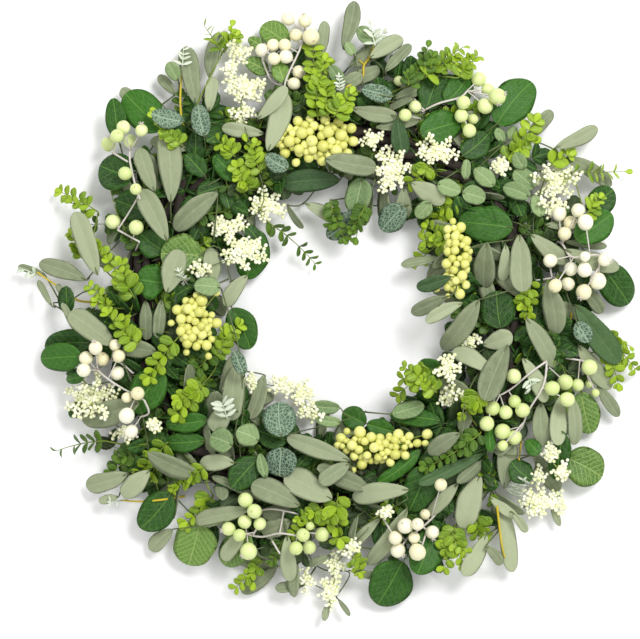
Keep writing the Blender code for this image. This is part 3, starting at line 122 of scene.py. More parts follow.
# Shares of a blade's half width, and of its thickness, at which it is tried
ACROSS_PROBES = (-1.0, -0.5, 0.0, 0.5, 1.0)
REST_SHARE = 0.6
# How much a blade takes of the tilt it would like, and what it costs to differ, in mm a degree
RISE_PULL = 0.25
LEAN_PULL = 0.2
RISE_COST = 0.16
LEAN_COST = 0.08
# Stems: how far below the bed they may go, length left out at the ends, shortest leg tried
BELOW_BED = 6.0
LEG_END = 3.0
SHORTEST_LEG = 0.5
# Shortest stem of a spray and half its length then, gap between feet, feet that are tried
SHORTEST_TRUNK = 16.0
HALF_TRUNK = 9.0
FEET_GAP = 5.0
FEET_FOR_A_STALK = 16
FEET_FOR_A_STEM = 12
# Where a stem touches something, each end that is hardly higher than the other is raised; a
# branch of berries starts this far above what lies below
RAISE = 1.0
HARDLY_HIGHER = 0.5
MUCH_HIGHER = 6.0
BRANCH_RISE = 1.5

# Where a round shape is tried against what is below: share of its reach, and how many places
BALL_PROBES = ((0.0, 1), (0.6, 6), (1.0, 8))
CORE_PROBES = ((0.0, 1), (0.5, 8), (0.95, 14))

# Heads and bunches: half sizes of a hub, half height of a core, and the gap left round both
HUB_HALF_SIZES = (3.2, 3.2, 2.6)
CORE_HALF_HEIGHT = 9.0
CORE_GAP = 0.4
# Berries of a bunch: rise above the core and how far out they need a stalk, as shares of their
# radius, where in the core the stalk starts, and radius of the stalk and of the root
BUNCH_RISE = (-0.1, 0.35)
STALK_NEEDED = 0.35
STALK_START = 0.72
BUNCH_STALK_RADIUS = 1.2
BUNCH_ROOT_RADIUS = 0.9
# Share of its radius at which a berry of a bunch must clear the other nodes
FAT_BERRY = 1.15
# Berries of a spray, and buds of a head: how far above what lies below, and size of a bud
BERRY_RISE = (0.5, 4.0)
BUD_RISE = (2.0, 5.0)
MIDDLE_BUD_RISE = 3.0
BUD_RADIUS = (2.0, 2.5)
BUD_STALK_START = 1.4
NEAR_A_STEM = 2.5

# Arms of a floret head, tufts along an arm, and buds in a tuft; then how far buds spread, the
# radius that small leaves keep clear of, and how high the middle bud stands
PX_PER_ARM = 5.5
PX_PER_TUFT = 5.0
BUDS_IN_A_TUFT = (4, 5, 6, 7)
TUFT_REACH = 4.4
TUFT_SIZE = 4.5
TUFT_CROWN = 3.2
FINE_BUD_RADIUS = (1.4, 2.0)
# Arms of a head: how far each turns aside, and its length as a share of the head; then how far
# a tuft turns aside from its arm, and how high it stands above the leaves and above the hub
ARM_SWERVE = (-0.3, 0.3)
ARM_LENGTH = (0.7, 1.0)
TUFT_SWERVE = (-0.16, 0.16)
TUFT_RISE = (1.0, 3.5)
MIDDLE_TUFT_RISE = (2.0, 5.0)
BELOW_HUB = 2.5
# Buds of a head and of a tuft lie on a spiral: how far each turns aside from it, and in a tuft
# where the spiral starts, how uneven its reach and height are, and how it slopes to its edge
SPIRAL_SWERVE = (-0.3, 0.3)
SPIRAL_START = 0.3
SPIRAL_REACH = (0.85, 1.15)
SPIRAL_RISE = (-0.8, 0.8)
TUFT_SLOPE = 0.28

# Least and greatest arch, fold and sideways bow of a blade, and the tilts it would like
ARCH_RANGE = (0.02, 0.09)
FOLD_RANGE = (-0.05, 0.22)
BOW_RANGE = (-0.045, 0.045)
RISE_WISH_DEG = (-22.0, 24.0)
LEAN_WISH_DEG = (-24.0, 24.0)

# Shape of a blade: place along its length, and half width as a share of the widest
LONG_LEAF_ROWS = ((0.14, 0.42), (0.42, 1.0), (0.74, 0.74))
ROUND_LEAF_ROWS = ((0.13, 0.62), (0.47, 1.0), (0.84, 0.72))
SHORT_LEAF_ROWS = ((0.25, 0.86), (0.68, 0.90))
SHORT_LEAF_PX = 52

# Outline of a sprig, in gaps between pairs: place of a pair and of the notch after it, rest of
# the stem, how far a pair is swept on, how much the last pair is narrower, width of the notch
PAIR_PLACE = 0.62
NOTCH_PLACE = 1.12
PAST_LAST_PAIR = 0.25
PAIR_SWEEP = 0.16
SPRIG_TAPER = 0.35
NOTCH_REACH = 1.1

# Long grey-green leaves behind the others: base, tip, width and, where steep, roll in degrees
BACK_LEAVES = {
    "back_leaves_top": (
        (350, 66, 383, 46, 18), (342, 82, 380, 68, 18), (332, 95, 362, 74, 18),
        (395, 98, 420, 88, 14), (318, 60, 325, 20, 14), (376, 128, 420, 118, 16)),
    "back_leaves_right": (
        (565, 157, 613, 185, 18), (528, 138, 553, 110, 16), (565, 242, 608, 246, 10),
        (545, 225, 590, 222, 14), (548, 300, 592, 318, 16)),
    "back_leaves_lower_right": (
        (470, 392, 438, 384, 18), (505, 488, 511, 440, 22), (512, 442, 494, 452, 16),
        (535, 455, 560, 492, 18), (462, 434, 466, 412, 16), (532, 420, 572, 432, 16)),
    "back_leaves_bottom": (
        (262, 500, 212, 476, 10), (290, 520, 262, 533, 22), (330, 556, 308, 566, 9),
        (304, 586, 275, 589, 12), (330, 602, 324, 622, 8), (338, 600, 350, 617, 6),
        (352, 572, 384, 578, 10)),
    "back_leaves_left": (
        (120, 262, 86, 250, 24), (157, 351, 123, 349, 20), (146, 300, 147, 340, 16),
        (162, 300, 158, 338, 14), (52, 306, 37, 280, 8), (74, 330, 62, 303, 8),
        (68, 302, 56, 284, 8), (44, 275, 17, 266, 9), (138, 102, 120, 88, 14),
        (174, 94, 158, 74, 12), (188, 150, 150, 140, 16)),
}

# Long grey-green leaves
LONG_LEAVES = {
    "long_leaves_top_left": (
        (196, 104, 185, 45, 20), (209, 78, 219, 31, 17), (209, 111, 213, 76, 15),
        (268, 152, 285, 93, 22), (258, 120, 287, 88, 16), (264, 134, 222, 128, 16)),
    "long_leaves_crown": (
        (343, 48, 355, 0, 18), (370, 58, 403, 37, 18), (385, 72, 411, 44, 13),
        (352, 109, 397, 117, 18), (397, 118, 403, 155, 20)),
    "long_leaves_inner_top": (
        (340, 180, 283, 184, 24), (305, 203, 347, 222, 17), (325, 160, 376, 168, 24),
        (375, 180, 350, 225, 7, 60), (287, 205, 303, 228, 8, 50), (404, 188, 405, 218, 18),
        (411, 183, 444, 203, 22)),
    "long_leaves_upper_right": (
        (555, 148, 599, 127, 17), (530, 235, 566, 263, 19), (565, 250, 619, 268, 18),
        (580, 285, 603, 313, 16)),
    "long_leaves_inner_right": (
        (440, 257, 401, 265, 11), (450, 277, 416, 288, 16), (445, 297, 411, 313, 16),
        (462, 303, 425, 322, 15), (486, 243, 484, 288, 24),
        (505, 245, 502, 281, 14), (519, 235, 521, 292, 23)),
    "long_leaves_right": (
        (545, 282, 556, 335, 22), (525, 318, 556, 367, 20), (575, 305, 619, 363, 26),
        (578, 345, 612, 389, 18), (598, 385, 620, 417, 14), (478, 300, 443, 350, 22)),
    "long_leaves_lower_right": (
        (490, 370, 453, 350, 20), (483, 345, 512, 335, 22), (507, 345, 483, 400, 25),
        (522, 358, 545, 402, 18), (541, 402, 544, 447, 20), (562, 395, 557, 445, 20),
        (570, 395, 575, 445, 17), (456, 424, 427, 421, 17), (458, 432, 428, 453, 20)),
    "long_leaves_bottom_right": (
        (483, 453, 418, 483, 14), (458, 483, 427, 515, 16), (480, 475, 463, 529, 25),
        (487, 535, 463, 575, 20), (503, 502, 513, 573, 18), (490, 497, 517, 518, 12),
        (512, 512, 527, 532, 10), (486, 545, 502, 565, 12), (552, 500, 561, 527, 8)),
    "long_leaves_bottom": (
        (349, 463, 320, 482, 20), (350, 460, 287, 437, 18), (408, 488, 352, 497, 20),
        (380, 518, 347, 552, 13), (358, 515, 350, 545, 8, 45), (407, 508, 368, 565, 18)),
    "long_leaves_bottom_left": (
        (300, 505, 252, 483, 24), (332, 498, 285, 474, 28), (250, 508, 195, 521, 18),
        (245, 530, 223, 560, 18), (287, 535, 290, 582, 18), (172, 530, 149, 551, 18),
        (237, 363, 231, 420, 24), (264, 375, 250, 419, 18), (228, 405, 214, 431, 24),
        (235, 462, 200, 464, 19)),
    "long_leaves_left": (
        (140, 402, 81, 420, 26), (115, 345, 70, 313, 24), (127, 474, 85, 487, 22),
        (150, 470, 122, 496, 22), (118, 497, 98, 502, 10)),
    "long_leaves_upper_left": (
        (86, 280, 38, 263, 20), (98, 275, 75, 212, 22), (168, 241, 142, 190, 22),
        (218, 193, 175, 230, 22), (168, 293, 180, 250, 26), (213, 285, 210, 248, 20),
        (247, 275, 225, 306, 18), (222, 320, 208, 296, 20), (171, 203, 166, 130, 24),
        (155, 192, 139, 148, 20)),
}

# Broad dark leaves with pale veins
BROAD_LEAVES = {
    "broad_leaves_top_left": (
        (162, 130, 125, 93, 38), (118, 140, 113, 98, 21), (133, 178, 99, 165, 38),
        (149, 212, 116, 200, 34), (238, 180, 214, 156, 22), (205, 176, 186, 155, 20)),
    "broad_leaves_inner_left": (
        (166, 252, 141, 234, 28), (166, 283, 137, 279, 36), (203, 256, 161, 254, 40),
        (259, 230, 246, 279, 34), (232, 308, 250, 349, 30), (258, 240, 246, 226, 14)),
    "broad_leaves_top": (
        (289, 44, 261, 25, 26), (268, 72, 246, 60, 18), (284, 83, 276, 60, 18),
        (264, 48, 248, 37, 12)),
    "broad_leaves_top_right": (
        (426, 110, 441, 69, 30), (446, 103, 470, 75, 28), (420, 134, 461, 122, 34),
        (497, 124, 533, 81, 40), (462, 156, 488, 134, 26)),
    "broad_leaves_right": (
        (512, 228, 458, 222, 38), (500, 328, 496, 291, 38), (588, 214, 614, 189, 28),
        (575, 240, 612, 214, 32), (600, 266, 630, 304, 36)),
    "broad_leaves_lower_right": (
        (582, 392, 592, 434, 30), (566, 458, 603, 478, 40), (562, 431, 556, 480, 22),
        (490, 452, 489, 426, 12), (531, 480, 511, 462, 24), (538, 454, 526, 440, 16),
        (441, 372, 418, 364, 20)),
    "broad_leaves_bottom": (
        (366, 424, 343, 412, 24), (394, 432, 367, 424, 18), (440, 421, 390, 415, 18),
        (420, 450, 377, 483, 16), (428, 465, 409, 511, 34), (403, 562, 378, 606, 44),
        (434, 531, 417, 574, 34)),
    "broad_leaves_bottom_left": (
        (200, 522, 188, 566, 44), (248, 532, 224, 566, 32), (171, 493, 140, 529, 34),
        (258, 458, 232, 487, 30), (288, 440, 256, 430, 26)),
    "broad_leaves_left": (
        (208, 419, 166, 424, 20), (205, 440, 163, 443, 20), (90, 343, 44, 347, 28),
        (82, 356, 40, 359, 30), (80, 402, 70, 418, 14), (84, 376, 66, 380, 12),
        (163, 370, 134, 412, 36)),
}

# Sprigs that grow among the small leaves of a node
SPRIGS_AMONG_LEAVES = {
    "small_leaves_inner_top": ((330, 200, 345, 240, 6, 4), (365, 205, 356, 240, 6, 3)),
}

# Small round leaves, some of them with a pale net of veins
SMALL_LEAVES = {
    "small_leaves_top_left": (
        (205, 137, 198, 105, 22), (184, 122, 152, 114, 22), (288, 170, 266, 156, 20),
        (178, 80, 168, 62, 16)),
    "small_leaves_top": (
        (392, 98, 362, 90, 20), (342, 86, 330, 66, 16), (374, 42, 358, 27, 18),
        (354, 56, 346, 43, 12)),
    "small_leaves_inner_top": (
        (404, 206, 382, 230, 30), (430, 203, 416, 217, 18), (362, 178, 354, 214, 30),
        (361, 214, 327, 237, 26)),
    "small_leaves_right": (
        (494, 186, 474, 169, 20), (576, 322, 588, 342, 20), (504, 142, 497, 128, 12),
        (510, 140, 516, 126, 12), (437, 184, 460, 192, 20), (462, 193, 485, 199, 22),
        (465, 180, 466, 160, 11), (534, 188, 514, 171, 24), (529, 197, 503, 187, 20),
        (524, 169, 515, 153, 16), (541, 217, 533, 196, 16)),
    "small_leaves_bottom": (
        (282, 436, 279, 402, 38), (282, 447, 280, 476, 38), (392, 414, 424, 405, 20),
        (340, 408, 312, 406, 16), (341, 422, 315, 418, 13), (266, 477, 260, 453, 12)),
    "small_leaves_left": (
        (245, 374, 235, 351, 16), (233, 444, 211, 436, 28), (259, 440, 237, 430, 26),
        (221, 288, 195, 286, 22)),
}

# Lime sprigs: base, tip, half width over a pair of leaflets, and number of pairs
LIME_SPRIGS = {
    "lime_sprigs_upper_left": (
        (222, 52, 203, 24, 5, 3), (226, 50, 232, 24, 5, 3), (182, 146, 155, 113, 7, 4),
        (235, 157, 217, 140, 7, 2), (262, 173, 246, 140, 7, 3), (250, 190, 236, 166, 7, 2),
        (265, 220, 318, 267, 7, 5)),
    "lime_sprigs_top": (
        (318, 120, 312, 36, 8, 7), (328, 118, 330, 62, 6, 5), (334, 118, 351, 93, 7, 2),
        (408, 86, 418, 68, 6, 2), (425, 78, 467, 44, 7, 4), (424, 74, 428, 46, 6, 3),
        (458, 78, 479, 55, 6, 2)),
    "lime_sprigs_upper_right": (
        (505, 160, 536, 119, 8, 4), (545, 172, 570, 144, 8, 3), (572, 172, 630, 171, 6, 5),
        (584, 216, 600, 197, 6, 2)),
    "lime_sprigs_inner_right": (
        (430, 166, 407, 185, 7, 3), (455, 202, 434, 222, 7, 2), (452, 230, 414, 263, 8, 4),
        (530, 280, 527, 315, 7, 3), (452, 240, 425, 226, 6, 2)),
    "lime_sprigs_lower_right": (
        (440, 366, 396, 397, 8, 4), (436, 392, 402, 366, 7, 3), (478, 390, 462, 415, 7, 2),
        (480, 432, 422, 468, 7, 4), (604, 334, 638, 372, 7, 3), (606, 350, 620, 386, 7, 3)),
    "lime_sprigs_bottom": (
        (478, 513, 480, 545, 8, 3), (455, 526, 443, 570, 8, 4), (452, 533, 465, 566, 6, 3),
        (338, 493, 340, 541, 9, 4), (350, 552, 360, 574, 6, 2), (322, 506, 292, 534, 6, 3),
        (283, 540, 272, 563, 6, 2), (264, 560, 234, 590, 7, 3)),
    "lime_sprigs_left": (
        (213, 496, 185, 524, 8, 3), (205, 466, 171, 490, 6, 3), (168, 442, 138, 474, 8, 3),
        (135, 451, 111, 475, 7, 2), (104, 441, 52, 453, 5, 5), (205, 384, 177, 416, 8, 3),
        (216, 349, 185, 381, 7, 3), (182, 334, 148, 380, 8, 4), (215, 357, 239, 324, 7, 3),
        (140, 344, 107, 312, 8, 4), (135, 298, 107, 259, 8, 4), (112, 308, 89, 286, 6, 3),
        (98, 212, 58, 191, 7, 4), (82, 258, 71, 233, 5, 2), (104, 258, 86, 236, 6, 2)),
}

# Yellow berry bunches: centre, half width and half height of the core, then the berries
YELLOW_BUNCHES = {
    "yellow_berries_top": ((315, 141, 36, 17), (
        (279, 143, 6), (288, 129, 6), (290, 142, 7), (285, 154, 6), (298, 122, 6),
        (302, 134, 7), (299, 150, 6), (310, 120, 5), (315, 129, 7), (312, 142, 7),
        (309, 158, 6), (325, 120, 6), (328, 133, 7), (323, 147, 7), (322, 161, 6),
        (338, 123, 6), (341, 136, 7), (336, 151, 7), (334, 163, 5), (351, 129, 6),
        (353, 142, 6), (347, 154, 6), (296, 163, 5), (276, 133, 5), (343, 146, 5),
        (318, 138, 5), (305, 126, 5), (331, 142, 5))),
    "yellow_berries_right": ((456, 258, 11, 30), (
        (452, 222, 4), (447, 230, 5), (460, 228, 6), (454, 237, 5), (465, 242, 6),
        (459, 249, 7), (447, 252, 5), (464, 257, 5), (460, 265, 6), (446, 264, 6),
        (453, 270, 5), (446, 278, 6), (461, 276, 6), (455, 284, 7), (465, 285, 5),
        (470, 288, 6), (447, 287, 5), (436, 289, 4), (440, 295, 5), (447, 296, 3),
        (459, 294, 6))),
    "yellow_berries_bottom": ((375, 448, 34, 12), (
        (341, 438, 6), (347, 431, 4), (360, 432, 7), (371, 437, 6), (352, 445, 6),
        (361, 446, 8), (374, 447, 6), (354, 456, 5), (367, 455, 5), (378, 457, 5),
        (362, 464, 6), (353, 470, 4), (385, 443, 5), (394, 444, 6), (398, 434, 6),
        (389, 436, 4), (409, 436, 5), (408, 445, 7), (395, 454, 6), (405, 455, 5),
        (417, 443, 5), (427, 434, 6), (390, 462, 5), (425, 443, 4))),
    "yellow_berries_left": ((195, 322, 15, 25), (
        (208, 291, 6), (217, 293, 4), (202, 301, 7), (178, 310, 6), (189, 309, 6),
        (200, 312, 6), (182, 319, 6), (192, 321, 7), (172, 323, 4), (217, 323, 6),
        (212, 315, 4), (208, 319, 4), (182, 331, 6), (202, 326, 5), (191, 333, 6),
        (188, 343, 6), (207, 345, 6), (197, 346, 5), (212, 339, 4), (187, 352, 4),
        (209, 356, 4))),
}

# Sprays of single berries: visible branches, then the berries with their radius
BERRY_SPRAYS = {
    "white_berries_top": (
        (((305, 28), (300, 50), (284, 84), (290, 100)), ((262, 58), (271, 80), (283, 86))),
        ((288, 18, 6.5), (305, 20, 6.5), (296, 35, 6), (311, 37, 8), (262, 50, 6.5),
         (273, 45, 6), (285, 45, 6), (286, 57, 6.5), (274, 59, 6), (299, 72, 6.5),
         (294, 84, 6))),
    "white_berries_left": (
        (((95, 368), (112, 381), (130, 392)), ((108, 360), (120, 362), (133, 373)),
         ((145, 400), (150, 413), (140, 417))),
        ((97, 348, 6.5), (87, 358, 6.5), (103, 359, 6.5), (85, 370, 6.5), (116, 345, 5.5),
         (120, 356, 6), (118, 373, 6.5), (139, 393, 6.5), (128, 397, 5), (128, 415, 7.5),
         (132, 431, 6.5))),
    "white_berries_right": (
        (((555, 240), (563, 245), (570, 258), (592, 255), (600, 256)),
         ((550, 267), (552, 278))),
        ((577, 211, 6.5), (584, 223, 7.5), (570, 223, 6.5), (559, 214, 7), (564, 234, 6.5),
         (549, 261, 6.5), (553, 286, 6.5), (567, 284, 6.5), (583, 257, 5), (570, 269, 6.5),
         (583, 270, 7), (597, 281, 8), (583, 292, 7.5), (603, 260, 6.5))),
    "white_berries_bottom": (
        (((437, 513), (425, 525), (405, 540)), ((427, 530), (422, 545))),
        ((405, 525, 7.5), (417, 523, 6), (414, 537, 5.5), (395, 537, 6.5), (398, 550, 7),
         (417, 551, 8), (432, 532, 6.5), (425, 514, 5), (440, 484, 6))),
    "green_berries_left": (
        (((112, 152), (128, 162)), ((130, 150), (130, 162), (136, 186), (141, 200)),
         ((118, 230), (140, 242))),
        ((108, 144, 7), (124, 128, 6.5), (118, 137, 6.5), (130, 141, 6.5), (142, 131, 6),
         (126, 174, 6.5), (137, 190, 5.5), (113, 222, 7), (137, 228, 7))),
    "green_berries_top_right": (
        (((425, 110), (440, 103), (460, 98), (468, 90)),),
        ((479, 79, 7), (488, 89, 6), (497, 97, 8), (485, 106, 7.5), (463, 103, 6.5),
         (461, 116, 6.5), (473, 119, 5), (469, 131, 6.5), (405, 116, 6), (415, 107, 6),
         (399, 81, 5))),
    "green_berries_right": (
        (((546, 361), (530, 372), (512, 388), (500, 395)),
         ((546, 362), (543, 385), (528, 410), (522, 428)), ((560, 357), (585, 361))),
        ((513, 376, 7), (492, 408, 7), (505, 412, 6.5), (514, 401, 6), (522, 410, 7),
         (486, 423, 7), (502, 431, 7.5), (514, 437, 7), (502, 445, 5), (551, 388, 7),
         (565, 382, 7.5), (578, 385, 6), (566, 399, 7), (589, 367, 7.5), (590, 384, 4),
         (596, 393, 4))),
    "green_berries_bottom": (
        (((260, 510), (275, 508), (305, 515)), ((245, 533), (263, 537), (280, 532), (305, 537)),
         ((263, 537), (255, 548)), ((272, 540), (280, 553))),
        ((246, 499, 7), (255, 510, 7), (245, 521, 6.5), (260, 523, 6), (229, 528, 6.5),
         (240, 534, 6), (249, 550, 8), (303, 534, 6.5), (296, 547, 6.5), (309, 547, 6.5),
         (310, 525, 4), (322, 534, 7))),
}

# Sprays of tiny florets: centre, half width and half height of a head, and how many florets
FLORET_HEADS = {
    "florets_upper_left": (
        (238, 50, 14, 11, 6), (230, 68, 6, 8, 4), (246, 88, 24, 14, 13), (240, 114, 14, 9, 6),
        (268, 205, 20, 17, 11), (228, 226, 20, 12, 8), (244, 251, 28, 16, 10),
        (200, 270, 10, 8, 4)),
    "florets_top": (
        (371, 140, 13, 10, 8), (391, 170, 22, 24, 14), (436, 152, 22, 14, 10)),
    "florets_right": (
        (500, 166, 9, 8, 4), (556, 182, 25, 20, 16), (553, 208, 15, 11, 8)),
    "florets_inner_right": (
        (468, 342, 12, 6, 5), (446, 368, 14, 15, 9), (450, 397, 14, 14, 8)),
    "florets_left": (
        (92, 398, 28, 24, 12), (124, 434, 14, 6, 5), (154, 424, 6, 6, 3)),
    "florets_lower_left": (
        (250, 383, 5, 7, 3), (283, 388, 16, 11, 8), (302, 394, 11, 14, 7),
        (310, 412, 13, 11, 6)),
    "florets_bottom": (
        (351, 547, 10, 8, 5), (335, 565, 9, 14, 6), (330, 593, 11, 17, 8),
        (305, 580, 9, 12, 5), (384, 511, 5, 4, 2)),
    "florets_bottom_right": (
        (551, 452, 7, 8, 4), (561, 471, 7, 9, 4), (539, 478, 6, 8, 3), (543, 503, 28, 17, 15)),
}

# Order from the ring upwards: kind of node and its places round the ring
LAYERS = tuple(f"{kind}_{place}" for kind, places in (
    ("back_leaves", "top right lower_right bottom left"),
    ("broad_leaves", "top_left inner_left top_right right lower_right bottom bottom_left left"),
    ("lime_sprigs", "inner_right upper_right bottom left lower_right"),
    ("yellow_berries", "top right bottom left"),
    ("long_leaves", "upper_left left bottom_left bottom bottom_right lower_right"),
    ("long_leaves", "right upper_right inner_right inner_top top_left crown"),
    ("broad_leaves", "top"),
    ("lime_sprigs", "upper_left top"),
    ("small_leaves", "top_left top inner_top right bottom left"),
    ("florets", "upper_left top right inner_right left lower_left bottom bottom_right"),
    ("white_berries", "top left right bottom"),
    ("green_berries", "left top_right right bottom"),
) for place in places.split())

# Camera, floor and light: lights are name, place and size in metres, and power in watts
CAMERA_HEIGHT_M = 4.03
CAMERA_LENS_MM = 250.0
CAMERA_SENSOR_MM = 36.0
CAMERA_FAR_M = 50.0
PICTURE_MIDDLE_PX = (320.0, 319.5)
FLOOR_HALF_M = 15.0
FLOOR_HEIGHT_M = -0.0006
FLOOR_SHADE = (0.96, 0.96, 0.96, 1.0)
LIGHTS = (("key", (1.2, 1.4, 2.8), 1.3, 80.0), ("fill", (-1.6, -0.4, 2.4), 2.2, 12.0))
BACKDROP_STRENGTH = 0.77

# Fine pieces: thickness of leaves, palest tone of a back leaf, kept darker as painted shade, and
# lowest point
LEAF_THICKNESS = 0.5
LEAFLET_THICKNESS = 0.44
BACK_LEAF_SHADED_TONE = 0.55
LOWEST = 0.2
# Stems: sides, how far they run below the CAD's, radii at the foot and at the end
STEM_SIDES = 7
STEM_SINK = 10.0
STALK_RADII = (0.8, 0.35)
TWIG_RADII = (0.7, 0.35)
# Outline of a leaf: where it is widest, how it tapers to the base, how blunt its tip is; then
# how far its edges wave
LEAFLET_SHAPE = (0.56, 0.75, 2.3)
LONG_SHAPE = (0.6, 0.62, 2.9)
ROUND_SHAPE = (0.46, 0.52, 2.15)
LONG_WAVE = 0.9
BROAD_WAVE = 1.1
SMALL_WAVE = 0.6
# A leaf's sunken rib, how far its edges curl as a share of its half width, and how far its end
# droops as a share of its length, from which share of the length on
RIB_DEPTH = 0.35
RIB_HALF_WIDTH = 0.8
CUPPING = (-0.05, 0.07)
DROOP = (0.0, 0.05)
DROOP_FROM = 0.6
# Reach of the wreath's body from its middle, and how far small leaves may pass an outer leaf
BODY_REACH = (112.0, 216.0)
PAST_OUTLINE = 10.0
BEHIND_PAST_OUTLINE = 6.0
HIGH_ABOVE = 200.0
# Least and greatest reach of a lime leaflet, and its share of the half width of the sprig
LIME_REACH = (7.8, 11.2)
LIME_REACH_SHARE = 1.4
# Small leaves of a spray: size at the foot of the spray, how much smaller at its tip, and
# least and greatest share of that; turn of every second pair and of each pair, aim towards the
# tip, tone of a leaf and how much paler the last is, then size and rise of the leaf at the tip
FOOT_SIZE = 1.12
SIZE_TAPER = 0.35
SIZE_RANGE = (0.8, 1.2)
PAIR_TURN_DEG = (25.0, 50.0)
PAIR_SWERVE = (-0.1, 0.25)
AIM_FORWARD = (0.3, 0.8)
TONE_RANGE = (0.0, 0.75)
TIP_PALER = 0.3
TIP_SIZE = 0.8
TIP_RISE = 0.2
# Fold and bend of a small leaf, as shares of its half width and of its length
LEAFLET_FOLD = (0.05, 0.4)
LEAFLET_BEND = (-0.3, 0.15)
# Smaller sprig beside a sprig: where it starts, how far it runs on and out, and its heights
SIDE_START = (0.05, 0.3)
SIDE_RUN = (0.35, 0.6)
SIDE_OUT = (0.12, 0.25)
SIDE_RISE = (-2.0, 2.0)
SIDE_KNEE_RISE = (0.0, 2.0)
SIDE_SIZE = 0.95
# Where the sprigs end in the picture that show their leaflets edge-on, and how near that is
EDGE_ON_TIPS_PX = ((318, 267), (630, 171), (52, 453), (203, 24))
EDGE_ON_WITHIN = 15.0
# Share of its length that a leaf's outline starts and ends at, and columns of a small leaf
OUTLINE_ENDS = (0.04, 0.97)
LEAFLET_COLUMNS = 5
# Dry crown of a berry: points, how near it is to its berry, length and spread of a point
CROWN_POINTS = 6
CROWN_WITHIN = 7.0
CROWN_LENGTH = (2.6, 3.6)
CROWN_SPREAD = (1.8, 3.0)
CROWN_SWERVE = (-0.2, 0.2)
# How far the knee of a tuft's stem is above its middle
TUFT_KNEE_RISE = (0.2, 1.2)
# Twigs that lie on the leaves: how far above them, height where no leaf is below, and how far
# such a twig may sag between two of its points; radius of the twig of a frosted sprig
ABOVE_LEAVES = 0.4
BARE_HEIGHT = 12.0
TWIG_SAG = 3.0
FROSTED_TWIG_RADIUS = 1.6
# Radii of stalks and stems of each kind, at the foot and at the end; those of stems are shares
CROWN_RADII = (0.8, 0.25)
BERRY_RADII = (0.55, 0.65)
BUNCH_RADII = (0.6, 0.6)
TUFT_RADII = (0.5, 0.4)
BUD_RADII = (0.28, 0.28)
STEM_SHARES = (1.0, 0.85)
DETAIL_SHARES = (1.0, 0.7)
# Sides and rows of a berry of a spray, of one in a bunch, and of a bud, and a bud's length
BERRY_GRID = (16, 10)
BUNCH_GRID = (11, 7)
BUD_GRID = (7, 5)
BUD_LENGTH = 1.12
# Share of its CAD radius that a berry of a spray and one in a bunch has
SPRAY_BERRY = 1.06
BUNCH_BALL = 0.88
# Places in the picture this close belong together
NEARBY = 2.0
# Vines of the ring, those inside it, and steps round it
FINE_VINES = 15
INNER_VINES = 4
FINE_RING_STEPS = 216
# Way out from the middle of the ring's section, and radius, each least and greatest
INNER_VINE = ((3.0, 9.0), (5.0, 6.5))
OUTER_VINE = ((15.5, 18.2), (2.6, 4.4))
VINE_WINDS = (2, 3, 3, 4)
# Waves round the ring of a vine's turn, of its reach and of its thickness, and how large
TURN_WAVES, TURN_SWAY = 5, 0.25
REACH_WAVES, REACH_SWAY = 7, 1.3
SWELL_WAVES, SWELLING = 23, 0.08
VINE_SIDES = 8
ABOVE_FLOOR = 0.1
# Bunch of berries: places tried, reach round a berry of the CAD, how close two may lie, and
# radii of a berry inside the bunch and at its edge
BUNCH_TRIES = 2600
# Height of a berry as a share of the bunch's own, how far in berries go, how far out on
# average, how much three lobes change that, and from where on a berry counts as at the edge
BUNCH_HEIGHTS = (-0.35, 1.0)
BUNCH_INSIDE = 0.72
BUNCH_OUTSIDE = 1.02
BUNCH_LOBES = 0.14
BUNCH_EDGE = 0.98
BUNCH_REACH = 7.5
BUNCH_CLOSENESS = 0.74
BUNCH_BERRY = (3.6, 4.8)
EDGE_BERRY = (2.6, 3.8)

# Gap between pairs, length and half width as shares of the reach, outline, rows of points,
# and how far a leaf leans along the stem
LIME_HABIT = (0.86, 1.16, 0.47, LEAFLET_SHAPE, 6, 0.35)
EDGE_HABIT = (0.85, 1.2, 0.42, LEAFLET_SHAPE, 6, 1.1)
FROST_HABIT = (1.05, 1.6, 0.36, (0.45, 0.9, 1.5), 6, 0.35)
ROUND_HABIT = (0.7, 1.2, 0.42, (0.46, 0.6, 2.2), 7, 0.35)
LONG_HABIT = (0.7, 1.6, 0.3, (0.54, 0.7, 2.4), 9, 0.35)

# Leaves of another kind than the rest of their node, by the pixel of their base
NET_LEAVES = {(282, 436), (282, 447), (404, 206), (205, 137), (392, 98), (576, 322), (288, 170),
              (184, 122), (361, 214), (245, 374)}
SILVER_LEAVES = {(233, 444), (259, 440), (534, 188), (529, 197), (437, 184), (462, 193),
                 (221, 288), (541, 217), (494, 186), (530, 235), (374, 42)}
MID_GREEN_LEAVES = {(200, 522), (566, 458), (582, 392), (289, 44), (203, 256), (268, 72),
                    (284, 83), (264, 48), (248, 532)}
DARK_LONG_LEAVES = {(397, 118), (575, 305), (450, 277), (483, 453), (340, 180)}
DARK_SPRIGS = {(408, 86), (424, 74), (283, 540), (135, 451), (216, 349), (265, 220), (330, 200),
               (365, 205), (480, 432), (104, 441)}

# Undergrowth: tries for a spray, share that grows outward, and share of the tone of a leaf that
# is kept, as painted shade
UNDERGROWTH_TRIES = 30
UNDERGROWTH_OUTWARD = 0.64
UNDERGROWTH_SHADE_TONE = 0.25
# First and last direction in degrees of the sprays behind a node, and how many there are
UNDERGROWTH = {
    "back_leaves_top": (50.0, 135.0, 50),
    "back_leaves_right": (-20.0, 50.0, 40),
    "back_leaves_lower_right": (-75.0, -20.0, 34),
    "back_leaves_bottom": (-140.0, -75.0, 40),
    "back_leaves_left": (135.0, 220.0, 50),
}
